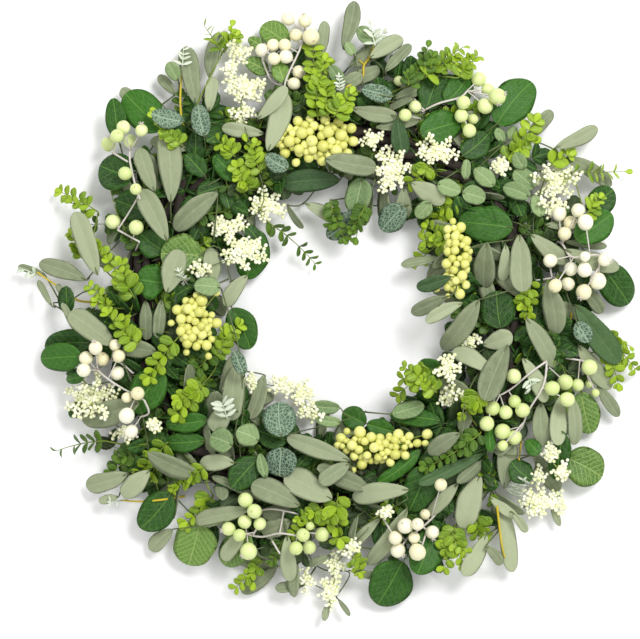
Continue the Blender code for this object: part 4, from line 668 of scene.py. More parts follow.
# Look, stem, least and greatest reach of a leaf, and habit of the sprays, by how common each is;
# dark looks are the most common, as painted shade deep in the wreath
UNDERGROWTH_KINDS = (
    ("under", "leaf_stem", 16.0, 21.0, ROUND_HABIT),
    ("long", "leaf_stem", 25.0, 31.0, LONG_HABIT),
    *3 * (("broad", "leaf_stem", 18.0, 24.0, ROUND_HABIT),),
    ("lime", "lime_stem", 8.5, 10.5, LIME_HABIT),
    *3 * (("dark_lime", "lime_stem", 8.5, 10.5, LIME_HABIT),),
)
# Foot and tip of a spray that grows outward or inward, from the ring and from the wreath's
# middle, then how far it sweeps round the ring, and the heights of its foot and its tip
OUTWARD_SPRAY = ((2.0, 15.0), (200.0, 238.0))
INWARD_SPRAY = ((-15.0, 0.0), (116.0, 132.0))
SPRAY_SWEEP = (0.08, 0.34)
SPRAY_FOOT_HEIGHT = (20.0, 34.0)
SPRAY_TIP_HEIGHT = (9.0, 28.0)
SPRAY_SHARES = (0.0, 0.35, 0.7, 1.0)
# How far below its foot a spray starts, and how much it humps in the middle
SPRAY_START_DEPTH = 6.0
SPRAY_HUMP = 7.0

# Small parts that lie on the leaves: look, radius, points of the picture
TWIGS = {
    "small_leaves_top_left": (
        ("yellow_stem", 1.0, ((182, 124), (180, 100), (181, 76), (183, 54))),
        ("yellow_stem", 0.8, ((181, 122), (187, 130), (190, 148))),
        ("yellow_stem", 0.8, ((187, 129), (196, 137), (194, 149)))),
    "small_leaves_top": (
        ("yellow_stem", 1.3, ((375, 38), (371, 55), (364, 65), (362, 78), (346, 88))),
        ("yellow_stem", 0.8, ((365, 65), (359, 60)))),
    "small_leaves_right": (
        ("yellow_stem", 1.0, ((560, 298), (565, 314), (562, 330), (567, 341))),
        ("yellow_stem", 0.9, ((570, 295), (571, 318), (562, 331))),
        ("wire", 1.0, ((480, 120), (489, 124), (484, 132), (494, 139)))),
    "long_leaves_lower_right": (
        ("yellow_stem", 1.1, ((523, 432), (521, 446), (519, 460))),
        ("wire", 1.0, ((462, 476), (472, 468), (482, 474)))),
    "long_leaves_bottom_right": (
        ("yellow_stem", 1.1, ((497, 506), (500, 530), (502, 545), (505, 558))),),
    "long_leaves_bottom_left": (
        ("yellow_stem", 1.1, ((184, 497), (160, 500), (138, 502), (120, 501))),),
    "small_leaves_left": (
        ("yellow_stem", 1.2, ((104, 312), (95, 303), (76, 300), (56, 286), (36, 272))),
        ("pale_stem", 0.8, ((193, 291), (187, 284), (183, 277)))),
    "small_leaves_bottom": (
        ("floret_stem", 0.8, ((233, 424), (226, 412), (222, 400))),),
}

# Frosted sprigs among the small leaves: base, tip, reach of a leaflet
FROSTED = {
    "small_leaves_top_left": ((182, 66, 183, 44, 5.0), (213, 167, 207, 142, 5.0)),
    "small_leaves_top": (
        (375, 46, 371, 24, 6.0), (373, 44, 383, 32, 5.0), (340, 92, 339, 78, 3.5)),
    "small_leaves_right": ((482, 189, 508, 204, 5.5), (528, 378, 531, 392, 5.0)),
    "long_leaves_bottom_left": ((128, 501, 110, 502, 4.0),),
    "small_leaves_left": ((40, 276, 14, 266, 5.0), (187, 284, 180, 272, 3.5)),
    "small_leaves_bottom": ((228, 418, 220, 394, 6.0),),
    "long_leaves_bottom_right": ((513, 496, 523, 480, 5.0),),
}

# Dry crowns at the ends of some berries
CROWNS = ((302, 8), (580, 297), (610, 262), (408, 560), (142, 120), (108, 130), (507, 93),
          (499, 110), (220, 530), (240, 557), (95, 340), (433, 538))

# Material slots of the nodes, which are also how their names start
SLOTS = ("back_leaves", "long_leaves", "broad_leaves", "small_leaves", "lime_sprigs",
         "yellow_berries", "white_berries", "green_berries", "florets")
# Share of the CAD's thickness that each kind of stem has
LEAF_STEM = 0.4
LIME_STEM = 0.45
FLORET_STEM = 0.5
BUNCH_STEM = 0.8
SEEN_STEM = 0.68
HIDDEN_STEM = 0.6
# Kind of leaf, and the look of its stem and how thick it is
LEAF_KINDS = {
    "back_leaves": ("long", "leaf_stem", LEAF_STEM),
    "long_leaves": ("long", "leaf_stem", LEAF_STEM),
    "broad_leaves": ("broad", "leaf_stem", LEAF_STEM),
    "small_leaves": ("small", "leaf_stem", LEAF_STEM),
    "lime_sprigs": ("small", "lime_stem", LIME_STEM),
}


def plan(x_px, y_px):
    """Place in the plane of the wreath of a point of the picture."""
    return Vector(((x_px - WREATH_CENTRE_PX[0]) * PICTURE_PIXEL_MM,
                   (WREATH_CENTRE_PX[1] - y_px) * PICTURE_PIXEL_MM, 0.0))


def bed_height(x, y):
    """Lowest height for foliage: high over the ring and low at both edges."""
    off_ring = (math.hypot(x, y) - RING_RADIUS) / BED_SPREAD
    return BED_EDGE_HEIGHT + BED_CROWN_HEIGHT * math.exp(-off_ring * off_ring)


def vine_mesh():
    """Closed ring of vines that wind round it together, with grooves between them."""
    section = []
    for vine in range(VINE_COUNT):
        for share, reach in LOBE:
            section.append((math.tau * (vine + share) / VINE_COUNT, reach))
    count = len(section)
    points = []
    faces = []
    for step in range(VINE_STEPS):
        round_ring = math.tau * step / VINE_STEPS
        twist = VINE_TURNS * round_ring
        outward = Vector((math.cos(round_ring), math.sin(round_ring), 0.0))
        for index, (turn, reach) in enumerate(section):
            wave = math.sin(WAVES_ROUND * round_ring + WAVE_SHIFT * index)
            knot = reach * (1.0 + WAVE_DEPTH * wave)
            point = outward * (RING_RADIUS + knot * math.cos(turn + twist))
            point.z = RING_CENTRE_HEIGHT + knot * VINE_FLATTENING * math.sin(turn + twist)
            points.append(point)
    for step in range(VINE_STEPS):
        slip = VINE_TURNS * count if step + 1 == VINE_STEPS else 0
        ahead = (step + 1) % VINE_STEPS * count
        for index in range(count):
            here = step * count + index
            beside = step * count + (index + 1) % count
            far = ahead + (index + slip) % count
            far_beside = ahead + (index + 1 + slip) % count
            faces.append((here, far, beside))
            faces.append((beside, far, far_beside))
    return points, faces


def leaf_rows(spec, shape):
    """Rows of a plain leaf: place along it, half width and how far its edge is swept on."""
    length = math.hypot(spec[2] - spec[0], spec[3] - spec[1])
    if shape is LONG_LEAF_ROWS and length < SHORT_LEAF_PX:
        shape = SHORT_LEAF_ROWS
    return [(place, share * spec[4] * PICTURE_PIXEL_MM / 2.0, 0.0) for place, share in shape]


def sprig_rows(half_width, pairs):
    """Rows of a sprig: a wide row for each pair of leaflets and a notch between pairs."""
    rows = []
    length = pairs + PAST_LAST_PAIR
    for pair in range(pairs):
        reach = half_width * (1.0 - SPRIG_TAPER * pair / pairs)
        rows.append(((pair + PAIR_PLACE) / length, reach, PAIR_SWEEP / pairs))
        if pair + 1 < pairs:
            rows.append(((pair + NOTCH_PLACE) / length, NOTCH_REACH, 0.0))
    return rows


def blade_height(blade, along, across):
    """Height of the middle of the blade above its base."""
    length = (blade["tip"] - blade["base"]).length
    return (blade["rise"] * along * length + blade["arch"] * length * 4.0 * along * (1.0 - along)
            + blade["lean"] * across + blade["fold"] * abs(across))


def blade_point(blade, along, across, swept=0.0):
    """Point on the middle of the blade; across is in millimetres from its midrib."""
    run = blade["tip"] - blade["base"]
    side = Vector((-run.y, run.x, 0.0)).normalized()
    bow = blade["bow"] * run.length * 4.0 * along * (1.0 - along)
    place = blade["base"] + run * (along + swept) + side * (across + bow)
    place.z = blade["height"] + blade_height(blade, along, across)
    return place


def stalk_rows(blade, extra):
    """Foot of the blade's stalk, and rows of four points where the stalk bends."""
    base = blade["base"] + UP * blade["height"]
    run = (blade["tip"] - blade["base"]).normalized()
    if len(blade["stalk"]) == 1 and (base - blade["stalk"][0]).length < SHORT_STALK:
        foot = blade["stalk"][0]
        return foot - (base - foot).normalized() * DEEP_FOOT, []
    path = blade["stalk"] + [base]
    side = Vector((-run.y, run.x, 0.0))
    above = UP
    heading = run
    rows = []
    for index in range(len(path) - 1, 0, -1):
        before = (path[index] - path[index - 1]).normalized()
        along = (before + heading).normalized()
        fresh = side - along * side.dot(along)
        if fresh.length > LEAST_ACROSS:
            side = fresh.normalized()
            over = along.cross(side)
            above = over if over.dot(above) > 0.0 else -over
        else:
            above = (above - along * above.dot(along)).normalized()
            over = above.cross(along)
            side = over if over.dot(side) > 0.0 else -over
        reach = STALK_RADIUS + extra
        rows.insert(0, [path[index] + side * reach, path[index] + above * reach,
                        path[index] - side * reach, path[index] - above * reach])
        heading = before
    return path[0] - heading * PAST_THE_END, rows


def blade_mesh(blade, extra=0.0):
    """Closed thin blade with a row of four points at each place along it."""
    steep = math.sqrt(1.0 + blade["lean"] ** 2 + blade["rise"] ** 2)
    half = UP * ((BLADE_THICKNESS / 2.0 + extra) * steep)
    if "stalk" in blade:
        foot, rows = stalk_rows(blade, extra)
    else:
        foot, rows = blade_point(blade, 0.0, 0.0), []
    for along, reach, swept in blade["rows"]:
        middle = blade_point(blade, along, 0.0)
        rows.append([blade_point(blade, along, reach + extra, swept), middle + half,
                     blade_point(blade, along, -reach - extra, swept), middle - half])
    points = [foot] + [point for row in rows for point in row]
    points.append(blade_point(blade, 1.0, 0.0))
    last = len(points) - 1
    faces = []
    for edge in range(4):
        beside = (edge + 1) % 4
        faces.append((0, 1 + beside, 1 + edge))
        faces.append((last, last - 4 + edge, last - 4 + beside))
    for row in range(len(rows) - 1):
        for edge in range(4):
            outer = 1 + 4 * row + (edge if edge % 2 == 0 else (edge + 1) % 4)
            inner = 1 + 4 * row + (edge if edge % 2 else edge + 1)
            triangles = ((outer, inner, outer + 4), (inner, inner + 4, outer + 4))
            for triangle in triangles:
                faces.append(triangle if edge % 2 == 0 else triangle[::-1])
    return points, faces


def berry_mesh(centre, radius):
    """Closed ball with twenty faces."""
    golden = (1.0 + math.sqrt(5.0)) / 2.0
    scale = radius / math.sqrt(1.0 + golden * golden) * CORNER_REACH
    corners = [(-1, golden, 0), (1, golden, 0), (-1, -golden, 0), (1, -golden, 0),
               (0, -1, golden), (0, 1, golden), (0, -1, -golden), (0, 1, -golden),
               (golden, 0, -1), (golden, 0, 1), (-golden, 0, -1), (-golden, 0, 1)]
    faces = [(0, 11, 5), (0, 5, 1), (0, 1, 7), (0, 7, 10), (0, 10, 11), (1, 5, 9),
             (5, 11, 4), (11, 10, 2), (10, 7, 6), (7, 1, 8), (3, 9, 4), (3, 4, 2),
             (3, 2, 6), (3, 6, 8), (3, 8, 9), (4, 9, 5), (2, 4, 11), (6, 2, 10),
             (8, 6, 7), (9, 8, 1)]
    return [centre + Vector(corner) * scale for corner in corners], faces


def core_mesh(centre, half_x, half_y, half_z):
    """Closed egg shape in the middle of a dense bunch."""
    points, faces = berry_mesh(Vector((0.0, 0.0, 0.0)), 1.0)
    stretch = Vector((half_x, half_y, half_z))
    return [centre + Vector((p.x * stretch.x, p.y * stretch.y, p.z * stretch.z))
            for p in points], faces


def bead_mesh(centre, radius, spin=None):
    """Closed bead with eight faces."""
    corners = [(1, 0, 0), (0, 1, 0), (-1, 0, 0), (0, -1, 0), (0, 0, 1), (0, 0, -1)]
    faces = [(0, 1, 4), (1, 2, 4), (2, 3, 4), (3, 0, 4), (1, 0, 5), (2, 1, 5), (3, 2, 5),
             (0, 3, 5)]
    points = [Vector(corner) * radius for corner in corners]
    if spin:
        points = [spin @ point for point in points]
    return [centre + point for point in points], faces


def with_neck(mesh, stalk_from, radius):
    """The ball with its nearest face drawn out into a stalk that ends at a point."""
    points, faces = list(mesh[0]), list(mesh[1])
    centre = sum(points, Vector()) / len(points)
    toward = (stalk_from - centre).normalized()
    turned = {}
    for face in faces:
        middle = sum((points[corner] for corner in face), Vector()) / 3.0 - centre
        turned[face] = middle.normalized().dot(toward)
    chosen = max(faces, key=lambda face: turned[face])
    faces.remove(chosen)
    end = stalk_from + toward * NECK_DEPTH
    middle = sum((points[corner] for corner in chosen), Vector()) / 3.0
    first = len(points)
    for corner in chosen:
        spoke = points[corner] - middle
        spoke -= toward * spoke.dot(toward)
        points.append(end + spoke.normalized() * radius)
    for index in range(3):
        near, near_next = chosen[index], chosen[(index + 1) % 3]
        far, far_next = first + index, first + (index + 1) % 3
        faces.append((near, near_next, far_next))
        faces.append((near, far_next, far))
    faces.append((first, first + 1, first + 2))
    return points, faces


def tube_mesh(route, radius):
    """Closed three-sided twig along a route, which it runs a little past at both ends."""
    points = []
    across = None
    for index, place in enumerate(route):
        before = (place - route[index - 1]).normalized() if index else None
        after = (route[index + 1] - place).normalized() if index + 1 < len(route) else None
        along = ((before or after) + (after or before)).normalized()
        start = across or along.orthogonal()
        across = (start - along * start.dot(along)).normalized()
        second = along.cross(across)
        if not index:
            place = place - along * PAST_THE_END
        if index + 1 == len(route):
            place = place + along * PAST_THE_END
        for corner in range(3):
            turn = math.tau * corner / 3.0
            points.append(place + (across * math.cos(turn) + second * math.sin(turn)) * radius)
    last = len(points) - 3
    faces = [(0, 2, 1), (last, last + 1, last + 2)]
    for start in range(0, last, 3):
        for corner in range(3):
            beside = (corner + 1) % 3
            faces.append((start + corner, start + beside, start + corner + 3))
            faces.append((start + beside, start + beside + 3, start + corner + 3))
    return points, faces


class Heap:
    """Everything placed so far, to lay the next piece on top of it."""

    def __init__(self, meshes):
        self.points = []
        self.faces = []
        self.add(meshes)

    def add(self, meshes):
        """Puts closed bodies on the heap."""
        for points, faces in meshes:
            first = len(self.points)
            self.points.extend(points)
            self.faces.extend(tuple(first + corner for corner in face) for face in faces)
        self.tree = BVHTree.FromPolygons(self.points, self.faces)

    def top(self, x, y):
        """Height of what lies at a place, or a height below everything."""
        hit = self.tree.ray_cast(Vector((x, y, ABOVE_THE_HEAP)), -UP)[0]
        return hit.z if hit else BELOW_THE_HEAP

    def touches(self, mesh):
        """Whether a body cuts through what is on the heap."""
        return bool(self.tree.overlap(BVHTree.FromPolygons(*mesh)))


def ground(x, y, heaps):
    """Top of what lies at a place, or the lowest height allowed there."""
    return max([bed_height(x, y)] + [heap.top(x, y) for heap in heaps])


def rest_height(blade, heaps):
    """Height of the base at which the blade just lies on what is below it."""
    needed = 0.0
    widths = [(0.0, 1.0)] + [(row[0], row[1]) for row in blade["rows"]] + [(1.0, 0.0)]
    probes = []
    for (near, near_reach), (far, far_reach) in zip(widths, widths[1:]):
        probes.append((near, near_reach))
        probes.append(((near + far) / 2.0, (near_reach + far_reach) / 2.0))
    probes.append((1.0, 0.0))
    for along, reach in probes:
        for share in ACROSS_PROBES:
            spot = blade_point(blade, along, share * reach)
            below = ground(spot.x, spot.y, heaps)
            lift = BLADE_THICKNESS * REST_SHARE + CLEARANCE
            needed = max(needed, below + lift - (spot.z - blade["height"]))
    return needed


def tilt_choices(blade, wish_rise, wish_lean, leans, heaps):
    """Cost, height, rise and lean of each tilt that a blade could have, the cheapest first."""
    choices = []
    for rise in RISES_DEG:
        for lean in leans:
            blade["rise"] = math.tan(math.radians(rise + wish_rise * RISE_PULL))
            blade["lean"] = math.tan(math.radians(lean * (1.0 - LEAN_PULL)
                                                  + wish_lean * LEAN_PULL))
            height = rest_height(blade, heaps)
            middle = height + blade_height(blade, 0.5, 0.0)
            end = height + blade_height(blade, 1.0, 0.0)
            cost = (height + middle + end) / 3.0 + RISE_COST * abs(rise - wish_rise)
            cost += LEAN_COST * abs(lean - wish_lean)
            choices.append((cost, height, blade["rise"], blade["lean"]))
    return sorted(choices)


def make_blade(base, tip, rows, rng, heaps, roll=None):
    """Blade tilted to lie low on what is below it, near a tilt of its own."""
    blade = {"base": base, "tip": tip, "rows": rows, "height": 0.0, "rise": 0.0, "lean": 0.0}
    blade["arch"] = rng.uniform(*ARCH_RANGE)
    blade["fold"] = rng.uniform(*FOLD_RANGE)
    blade["bow"] = rng.uniform(*BOW_RANGE)
    wish_rise = rng.uniform(*RISE_WISH_DEG)
    wish_lean = rng.uniform(*LEAN_WISH_DEG) if roll is None else roll
    leans = LEANS_DEG if roll is None else (roll, -roll)
    lift = rng.uniform(0.0, MOST_LIFT)
    best = None
    for cost, height, rise, lean in tilt_choices(blade, wish_rise, wish_lean, leans, heaps):
        blade["rise"], blade["lean"] = rise, lean
        for step in range(MOST_TRIES):
            blade["height"] = height + lift + STEP_UP * step
            if not any(heap.touches(blade_mesh(blade, CLEARANCE)) for heap in heaps):
                break
        if best is None or cost + STEP_UP * step < best[0]:
            best = (cost + STEP_UP * step, blade["height"], rise, lean)
        if not step:
            break
    blade["height"], blade["rise"], blade["lean"] = best[1:]
    return blade


def rest_round(place, half_sizes, probes, heaps):
    """Height of the middle of a round shape that lies on what is below it."""
    half_x, half_y, half_z = half_sizes
    height = 0.0
    for share, count in probes:
        drop = half_z * CORNER_REACH * math.sqrt(max(0.0, 1.0 - share * share))
        for step in range(count):
            turn = math.tau * step / count
            below = ground(place.x + half_x * share * math.cos(turn),
                           place.y + half_y * share * math.sin(turn), heaps)
            height = max(height, below + drop + CLEARANCE)
    return height


def rest_ball(place, radius, heaps, lift=0.0):
    """Centre of a ball that lies on what is below it."""
    height = rest_round(place, (radius, radius, radius), BALL_PROBES, heaps)
    centre = Vector((place.x, place.y, height + lift))
    for _ in range(MOST_TRIES):
        if not heaps[0].touches(berry_mesh(centre, radius + CLEARANCE)):
            break
        centre.z += STEP_UP
    return centre


def inside_end(end, beside):
    """Point a little inside the end of a leg."""
    return end.lerp(beside, LEG_END / max(2.0 * LEG_END, (beside - end).length))


def clear_route(start, end, radius, heap, own=None):
    """Points of a twig that bows until it clears the other nodes, and its own if it can."""
    fallback = None
    reach = radius + CLEARANCE
    for lift in LIFTS:
        route = [start, end]
        if lift:
            route = [start, (start + end) / 2.0 + UP * lift, end]
        legs = zip(route, route[1:])
        if any(heap.touches(tube_mesh(leg, reach)) for leg in legs):
            continue
        if any(point.z < bed_height(point.x, point.y) - BELOW_BED for point in route):
            continue
        inner = [inside_end(route[0], route[1])] + route[1:-1]
        inner.append(inside_end(route[-1], route[-2]))
        legs = [leg for leg in zip(inner, inner[1:]) if (leg[0] - leg[1]).length > SHORTEST_LEG]
        if own is None or not any(own.touches(tube_mesh(leg, reach)) for leg in legs):
            return route
        fallback = fallback or route
    return fallback


def find_root(anchors, ring, heap, radius):
    """Free spot on the ring near the spray, and the way from it to the spray."""
    best = None
    for anchor in anchors:
        direction = math.atan2(anchor.y, anchor.x)
        for turn in FOOT_TURNS:
            for offset in FOOT_OFFSETS:
                reach = RING_RADIUS + offset
                x = reach * math.cos(direction + turn)
                y = reach * math.sin(direction + turn)
                spots = [(x, y)] + [(x + FOOT_REACH * math.cos(corner),
                                     y + FOOT_REACH * math.sin(corner))
                                    for corner in FOOT_CORNERS]
                tops = [ring.top(*spot) for spot in spots]
                if min(tops) < LOWEST_FOOT or any(heap.top(*spot) > top + 0.01
                                                  for spot, top in zip(spots, tops)):
                    continue
                foot = Vector((x, y, max(tops) + FOOT_RISE))
                distance = (anchor - foot).length
                if distance > FARTHEST_ROOT or best and best[0] <= distance:
                    continue
                knee = foot + UP * KNEE_RISE
                route = clear_route(knee, anchor, radius, heap)
                if route and not heap.touches(tube_mesh([foot] + route, radius + 0.05)):
                    best = (distance, [foot] + route)
    return best[1] if best else None


def lay_trunk(spots, heap, radius):
    """Stem of a spray that follows its leaves' feet just above what lies below."""
    middle = sum(spots, Vector()) / len(spots)
    across = sum((spot.x - middle.x) ** 2 for spot in spots)
    upward = sum((spot.y - middle.y) ** 2 for spot in spots)
    mixed = sum((spot.x - middle.x) * (spot.y - middle.y) for spot in spots)
    turn = 0.5 * math.atan2(2.0 * mixed, across - upward)
    axis = Vector((math.cos(turn), math.sin(turn), 0.0))
    spots = sorted(spots, key=lambda spot: (spot - middle).dot(axis))
    span = (spots[-1] - spots[0]).dot(axis)
    count = max(2, min(len(spots), 1 + round(span / TRUNK_STEP)))
    route = []
    for group in range(count):
        first = group * len(spots) // count
        last = max(first + 1, (group + 1) * len(spots) // count)
        route.append(sum(spots[first:last], Vector()) / (last - first))
    if (route[-1] - route[0]).length < SHORTEST_TRUNK:
        route[0] = middle - axis * HALF_TRUNK
        route[-1] = middle + axis * HALF_TRUNK
    for spot in route:
        spot.z = ground(spot.x, spot.y, [heap]) + radius + CLEARANCE
    return raise_clear(route, heap, radius)


def raise_clear(route, heap, radius):
    """Lifts the route's points until it clears the other nodes."""
    reach = radius + CLEARANCE
    for _ in range(MOST_TRIES):
        bad = set()
        for index, (a, b) in enumerate(zip(route, route[1:])):
            if heap.touches(tube_mesh((a, b), reach)):
                limit = min(max(a.z, b.z) + HARDLY_HIGHER, min(a.z, b.z) + MUCH_HIGHER)
                bad.update(end for end, spot in ((index, a), (index + 1, b)) if spot.z < limit)
        if not bad:
            break
        for index in bad:
            route[index].z += RAISE
    return route


def route_length(route):
    """Length along a route."""
    return sum((b - a).length for a, b in zip(route, route[1:]))


def feet_on(routes, goal):
    """Places along the routes where a stalk may start, the nearest to the goal first."""
    feet = []
    for route in routes:
        for a, b in zip(route, route[1:]):
            length = (b - a).length
            steps = max(1, int(length / FEET_GAP))
            for step in range(steps):
                feet.append(a.lerp(b, (step + 0.5) / steps))
            share = (goal - a).dot(b - a) / (length * length)
            feet.append(a.lerp(b, max(0.12, min(0.88, share))))
    return sorted(feet, key=lambda foot: (goal - foot).length)


def stalks_to(goal, routes, radius, heap, own):
    """Ways from a stem up to the goal, which is left out, the shortest first."""
    feet = feet_on(routes, goal)[:FEET_FOR_A_STALK]
    ways = [clear_route(foot, goal, radius, heap, own) for foot in feet]
    for way in sorted((way for way in ways if way), key=route_length):
        yield way[:-1]


def bind(routes, radius, ring, heap):
    """Joins the stems of a spray to each other and, where a way is free, to the ring."""
    joined = [routes[0]]
    for route in routes[1:]:
        feet = feet_on(joined, route[0])[:FEET_FOR_A_STEM]
        pairs = sorted(((a - b).length, i, j) for i, a in enumerate(feet)
                       for j, b in enumerate(route))
        best = None
        for distance, i, j in pairs:
            if best and best[0] <= distance:
                break
            way = clear_route(feet[i], route[j], radius, heap)
            if way and not heap.touches(tube_mesh(way, radius + CLEARANCE)):
                if best is None or route_length(way) < best[0]:
                    best = (route_length(way), way)
        if best:
            joined.append(best[1])
        joined.append(route)
    root = find_root([point for route in joined for point in route], ring, heap, radius)
    if root:
        joined.append(root)
    return joined


def lay_branches(branches, heap, radius):
    """Branches of a berry spray, laid on what is below them and raised clear."""
    routes = []
    for branch in branches:
        route = []
        for x_px, y_px in branch:
            spot = plan(x_px, y_px)
            spot.z = ground(spot.x, spot.y, [heap]) + radius + CLEARANCE + BRANCH_RISE
            route.append(spot)
        routes.append(raise_clear(route, heap, radius))
    return routes


def lay_blades(name, specs, ring, heap, kind):
    """Node of leaves or sprigs on a stem, from what leaf_specs and sprig_specs say of each."""
    rng = random.Random(f"{SEED} {name}")
    radius = TWIG_RADIUS[kind]
    trunk = lay_trunk([spec[0].copy() for spec in specs], heap, radius)
    routes = bind([trunk], radius, ring, heap)
    own = Heap([tube_mesh(route, radius) for route in routes])
    blades = []
    for base, tip, rows, roll, *more in specs:
        blade = make_blade(base, tip, rows, rng, (heap, own), roll)
        blade["key"], blade["reach"], blade["pairs"] = more
        for stalk in stalks_to(base + UP * blade["height"], routes, STALK_RADIUS, heap, own):
            blade["stalk"] = stalk
            if not heap.touches(blade_mesh(blade, SEAT)):
                blades.append(blade)
                own.add([blade_mesh(blade)])
                break
    return {"name": name, "blades": blades, "routes": routes, "radius": radius}


def leaf_specs(specs, shape):
    """Base, tip, rows, roll, place in the picture, reach and no pairs of each leaf."""
    made = []
    for spec in specs:
        roll = spec[5] if len(spec) > 5 else None
        made.append((plan(*spec[0:2]), plan(*spec[2:4]), leaf_rows(spec, shape), roll,
                     spec[0:2], spec[4] * PICTURE_PIXEL_MM / 2.0, 0))
    return made


def lay_leaves(name, specs, shape, ring, heap):
    """Node of leaves on a stem, with the sprigs among them."""
    made = leaf_specs(specs, shape) + sprig_specs(SPRIGS_AMONG_LEAVES.get(name, ()))
    return lay_blades(name, made, ring, heap, "leaf")


def sprig_specs(specs):
    """Base, tip, rows, no roll, place in the picture, reach and pairs of each sprig."""
    made = []
    for x0, y0, x1, y1, reach, pairs in specs:
        rows = sprig_rows(reach * PICTURE_PIXEL_MM, min(pairs, MOST_PAIRS))
        made.append((plan(x0, y0), plan(x1, y1), rows, None, (x0, y0),
                     reach * PICTURE_PIXEL_MM, pairs))
    return made


def lay_sprigs(name, specs, ring, heap):
    """Node of lime sprigs on a stem."""
    return lay_blades(name, sprig_specs(specs), ring, heap, "berry")


def lay_core(middle, half_sizes, heap):
    """Centre of a core that lies on what is below it."""
    centre = Vector((middle.x, middle.y, rest_round(middle, half_sizes, CORE_PROBES, [heap])))
    while heap.touches(core_mesh(centre, *(half + CORE_GAP for half in half_sizes))):
        centre.z += STEP_UP
    return centre


def is_within(spot, balls, reach):
    """Whether a place is within reach, seen from above, of the centre of a ball."""
    return any(math.hypot(spot.x - ball["centre"].x, spot.y - ball["centre"].y) < reach
               for ball in balls)


def lay_bunch_ball(spot, radius, core, rng, heap):
    """Berry over the core of a bunch, in a list, or no berry where its stalk isn't free."""
    middle, half_x, half_y, half_z = core
    off = Vector(((spot.x - middle.x) / half_x, (spot.y - middle.y) / half_y))
    dome = middle.z + half_z * math.sqrt(max(0.0, 1.0 - off.length_squared))
    dome += rng.uniform(*BUNCH_RISE) * radius
    centre = rest_ball(spot, radius, (heap,))
    centre.z = max(centre.z, dome)
    gap = Vector((off.x, off.y, (centre.z - middle.z) / half_z)).length
    stalk = None
    if gap > 1.0 + STALK_NEEDED * radius / min(half_x, half_y):
        stalk = middle + (centre - middle) * (STALK_START / gap)
        fat = berry_mesh(centre, radius * FAT_BERRY)
        if heap.touches(with_neck(fat, stalk, BUNCH_STALK_RADIUS)):
            return []
    spin = Euler([rng.uniform(0.0, 3.0) for _ in range(3)]).to_matrix()
    return [{"centre": centre, "radius": radius, "stalk": stalk, "spin": spin}]


def lay_bunch(name, spec, ring, heap):
    """Node of a dense bunch of berries round a smaller core."""
    rng = random.Random(f"{SEED} {name}")
    (core_x, core_y, half_x, half_y), berries = spec
    half_x *= PICTURE_PIXEL_MM
    half_y *= PICTURE_PIXEL_MM
    half_z = CORE_HALF_HEIGHT
    middle = lay_core(plan(core_x, core_y), (half_x, half_y, half_z), heap)
    core = (middle, half_x, half_y, half_z)
    balls = []
    for x_px, y_px, radius_px in berries:
        spot = plan(x_px, y_px)
        radius = radius_px * PICTURE_PIXEL_MM
        if not is_within(spot, balls, BERRY_SPACING * radius):
            balls += lay_bunch_ball(spot, radius, core, rng, heap)
    root = find_root([middle], ring, heap, 1.0)
    return {"name": name, "core": core, "small_balls": balls,
            "routes": [root] if root else [], "radius": BUNCH_ROOT_RADIUS}


def lay_berries(name, spec, ring, heap):
    """Node of a spray of single berries on branches."""
    rng = random.Random(f"{SEED} {name}")
    branches, berries = spec
    radius = TWIG_RADIUS["berry"]
    routes = bind(lay_branches(branches, heap, radius), radius, ring, heap)
    own = Heap([tube_mesh(route, radius) for route in routes])
    balls = []
    for x_px, y_px, radius_px in berries:
        spot = plan(x_px, y_px)
        ball_radius = radius_px * PICTURE_PIXEL_MM
        centre = rest_ball(spot, ball_radius, (heap, own), rng.uniform(*BERRY_RISE))
        for stalk in stalks_to(centre, routes, STALK_RADIUS, heap, own):
            fat = with_neck(berry_mesh(centre, ball_radius + SEAT), stalk[-1],
                            BERRY_STALK_RADIUS + SEAT)
            if heap.touches(fat):
                continue
            if len(stalk) > 1 and heap.touches(tube_mesh(stalk, radius + SEAT)):
                continue
            balls.append({"centre": centre, "radius": ball_radius, "stalk": stalk[-1]})
            if len(stalk) > 1:
                routes.append(stalk)
            own.add([berry_mesh(centre, ball_radius)])
            break
    return {"name": name, "balls": balls, "routes": routes, "radius": radius}


def lay_tuft(tuft, rng):
    """Centre and radius of each bud of a tuft."""
    buds = []
    count = rng.choice(BUDS_IN_A_TUFT)
    for bud in range(count):
        around = bud * GOLDEN_ANGLE + rng.uniform(*SPIRAL_SWERVE)
        spread = TUFT_REACH * math.sqrt((bud + SPIRAL_START) / count)
        spread = spread * rng.uniform(*SPIRAL_REACH)
        rise = TUFT_CROWN - TUFT_SLOPE * spread + rng.uniform(*SPIRAL_RISE)
        centre = tuft + Vector((spread * math.cos(around), spread * math.sin(around), rise))
        buds.append((centre, rng.uniform(*FINE_BUD_RADIUS)))
    return buds


def spread_buds(hub, half_x, half_y, heap):
    """Tufts of a head: its hub, the tuft's middle, and the centre and radius of each bud."""
    rng = random.Random(f"{SEED} buds {hub.x:.1f} {hub.y:.1f}")
    tufts = []
    arms = max(4, round((half_x + half_y) / PX_PER_ARM))
    for arm in range(arms):
        turn = math.tau * (arm + rng.uniform(*ARM_SWERVE)) / arms
        far = rng.uniform(*ARM_LENGTH)
        count = max(2, round(far * max(half_x, half_y) / PX_PER_TUFT))
        for index in range(count):
            share = far * (index + rng.uniform(0.5, 1.0)) / count
            aim = turn + rng.uniform(*TUFT_SWERVE)
            reach = share * PICTURE_PIXEL_MM
            tuft = hub + Vector((half_x * reach * math.cos(aim), half_y * reach * math.sin(aim),
                                 0.0))
            tuft.z = ground(tuft.x, tuft.y, [heap]) + CLEARANCE + rng.uniform(*TUFT_RISE)
            dome = (1.0 - share) * rng.uniform(*MIDDLE_TUFT_RISE)
            tuft.z = max(tuft.z, hub.z + dome - BELOW_HUB)
            tufts.append((hub, tuft, lay_tuft(tuft, rng)))
    return tufts


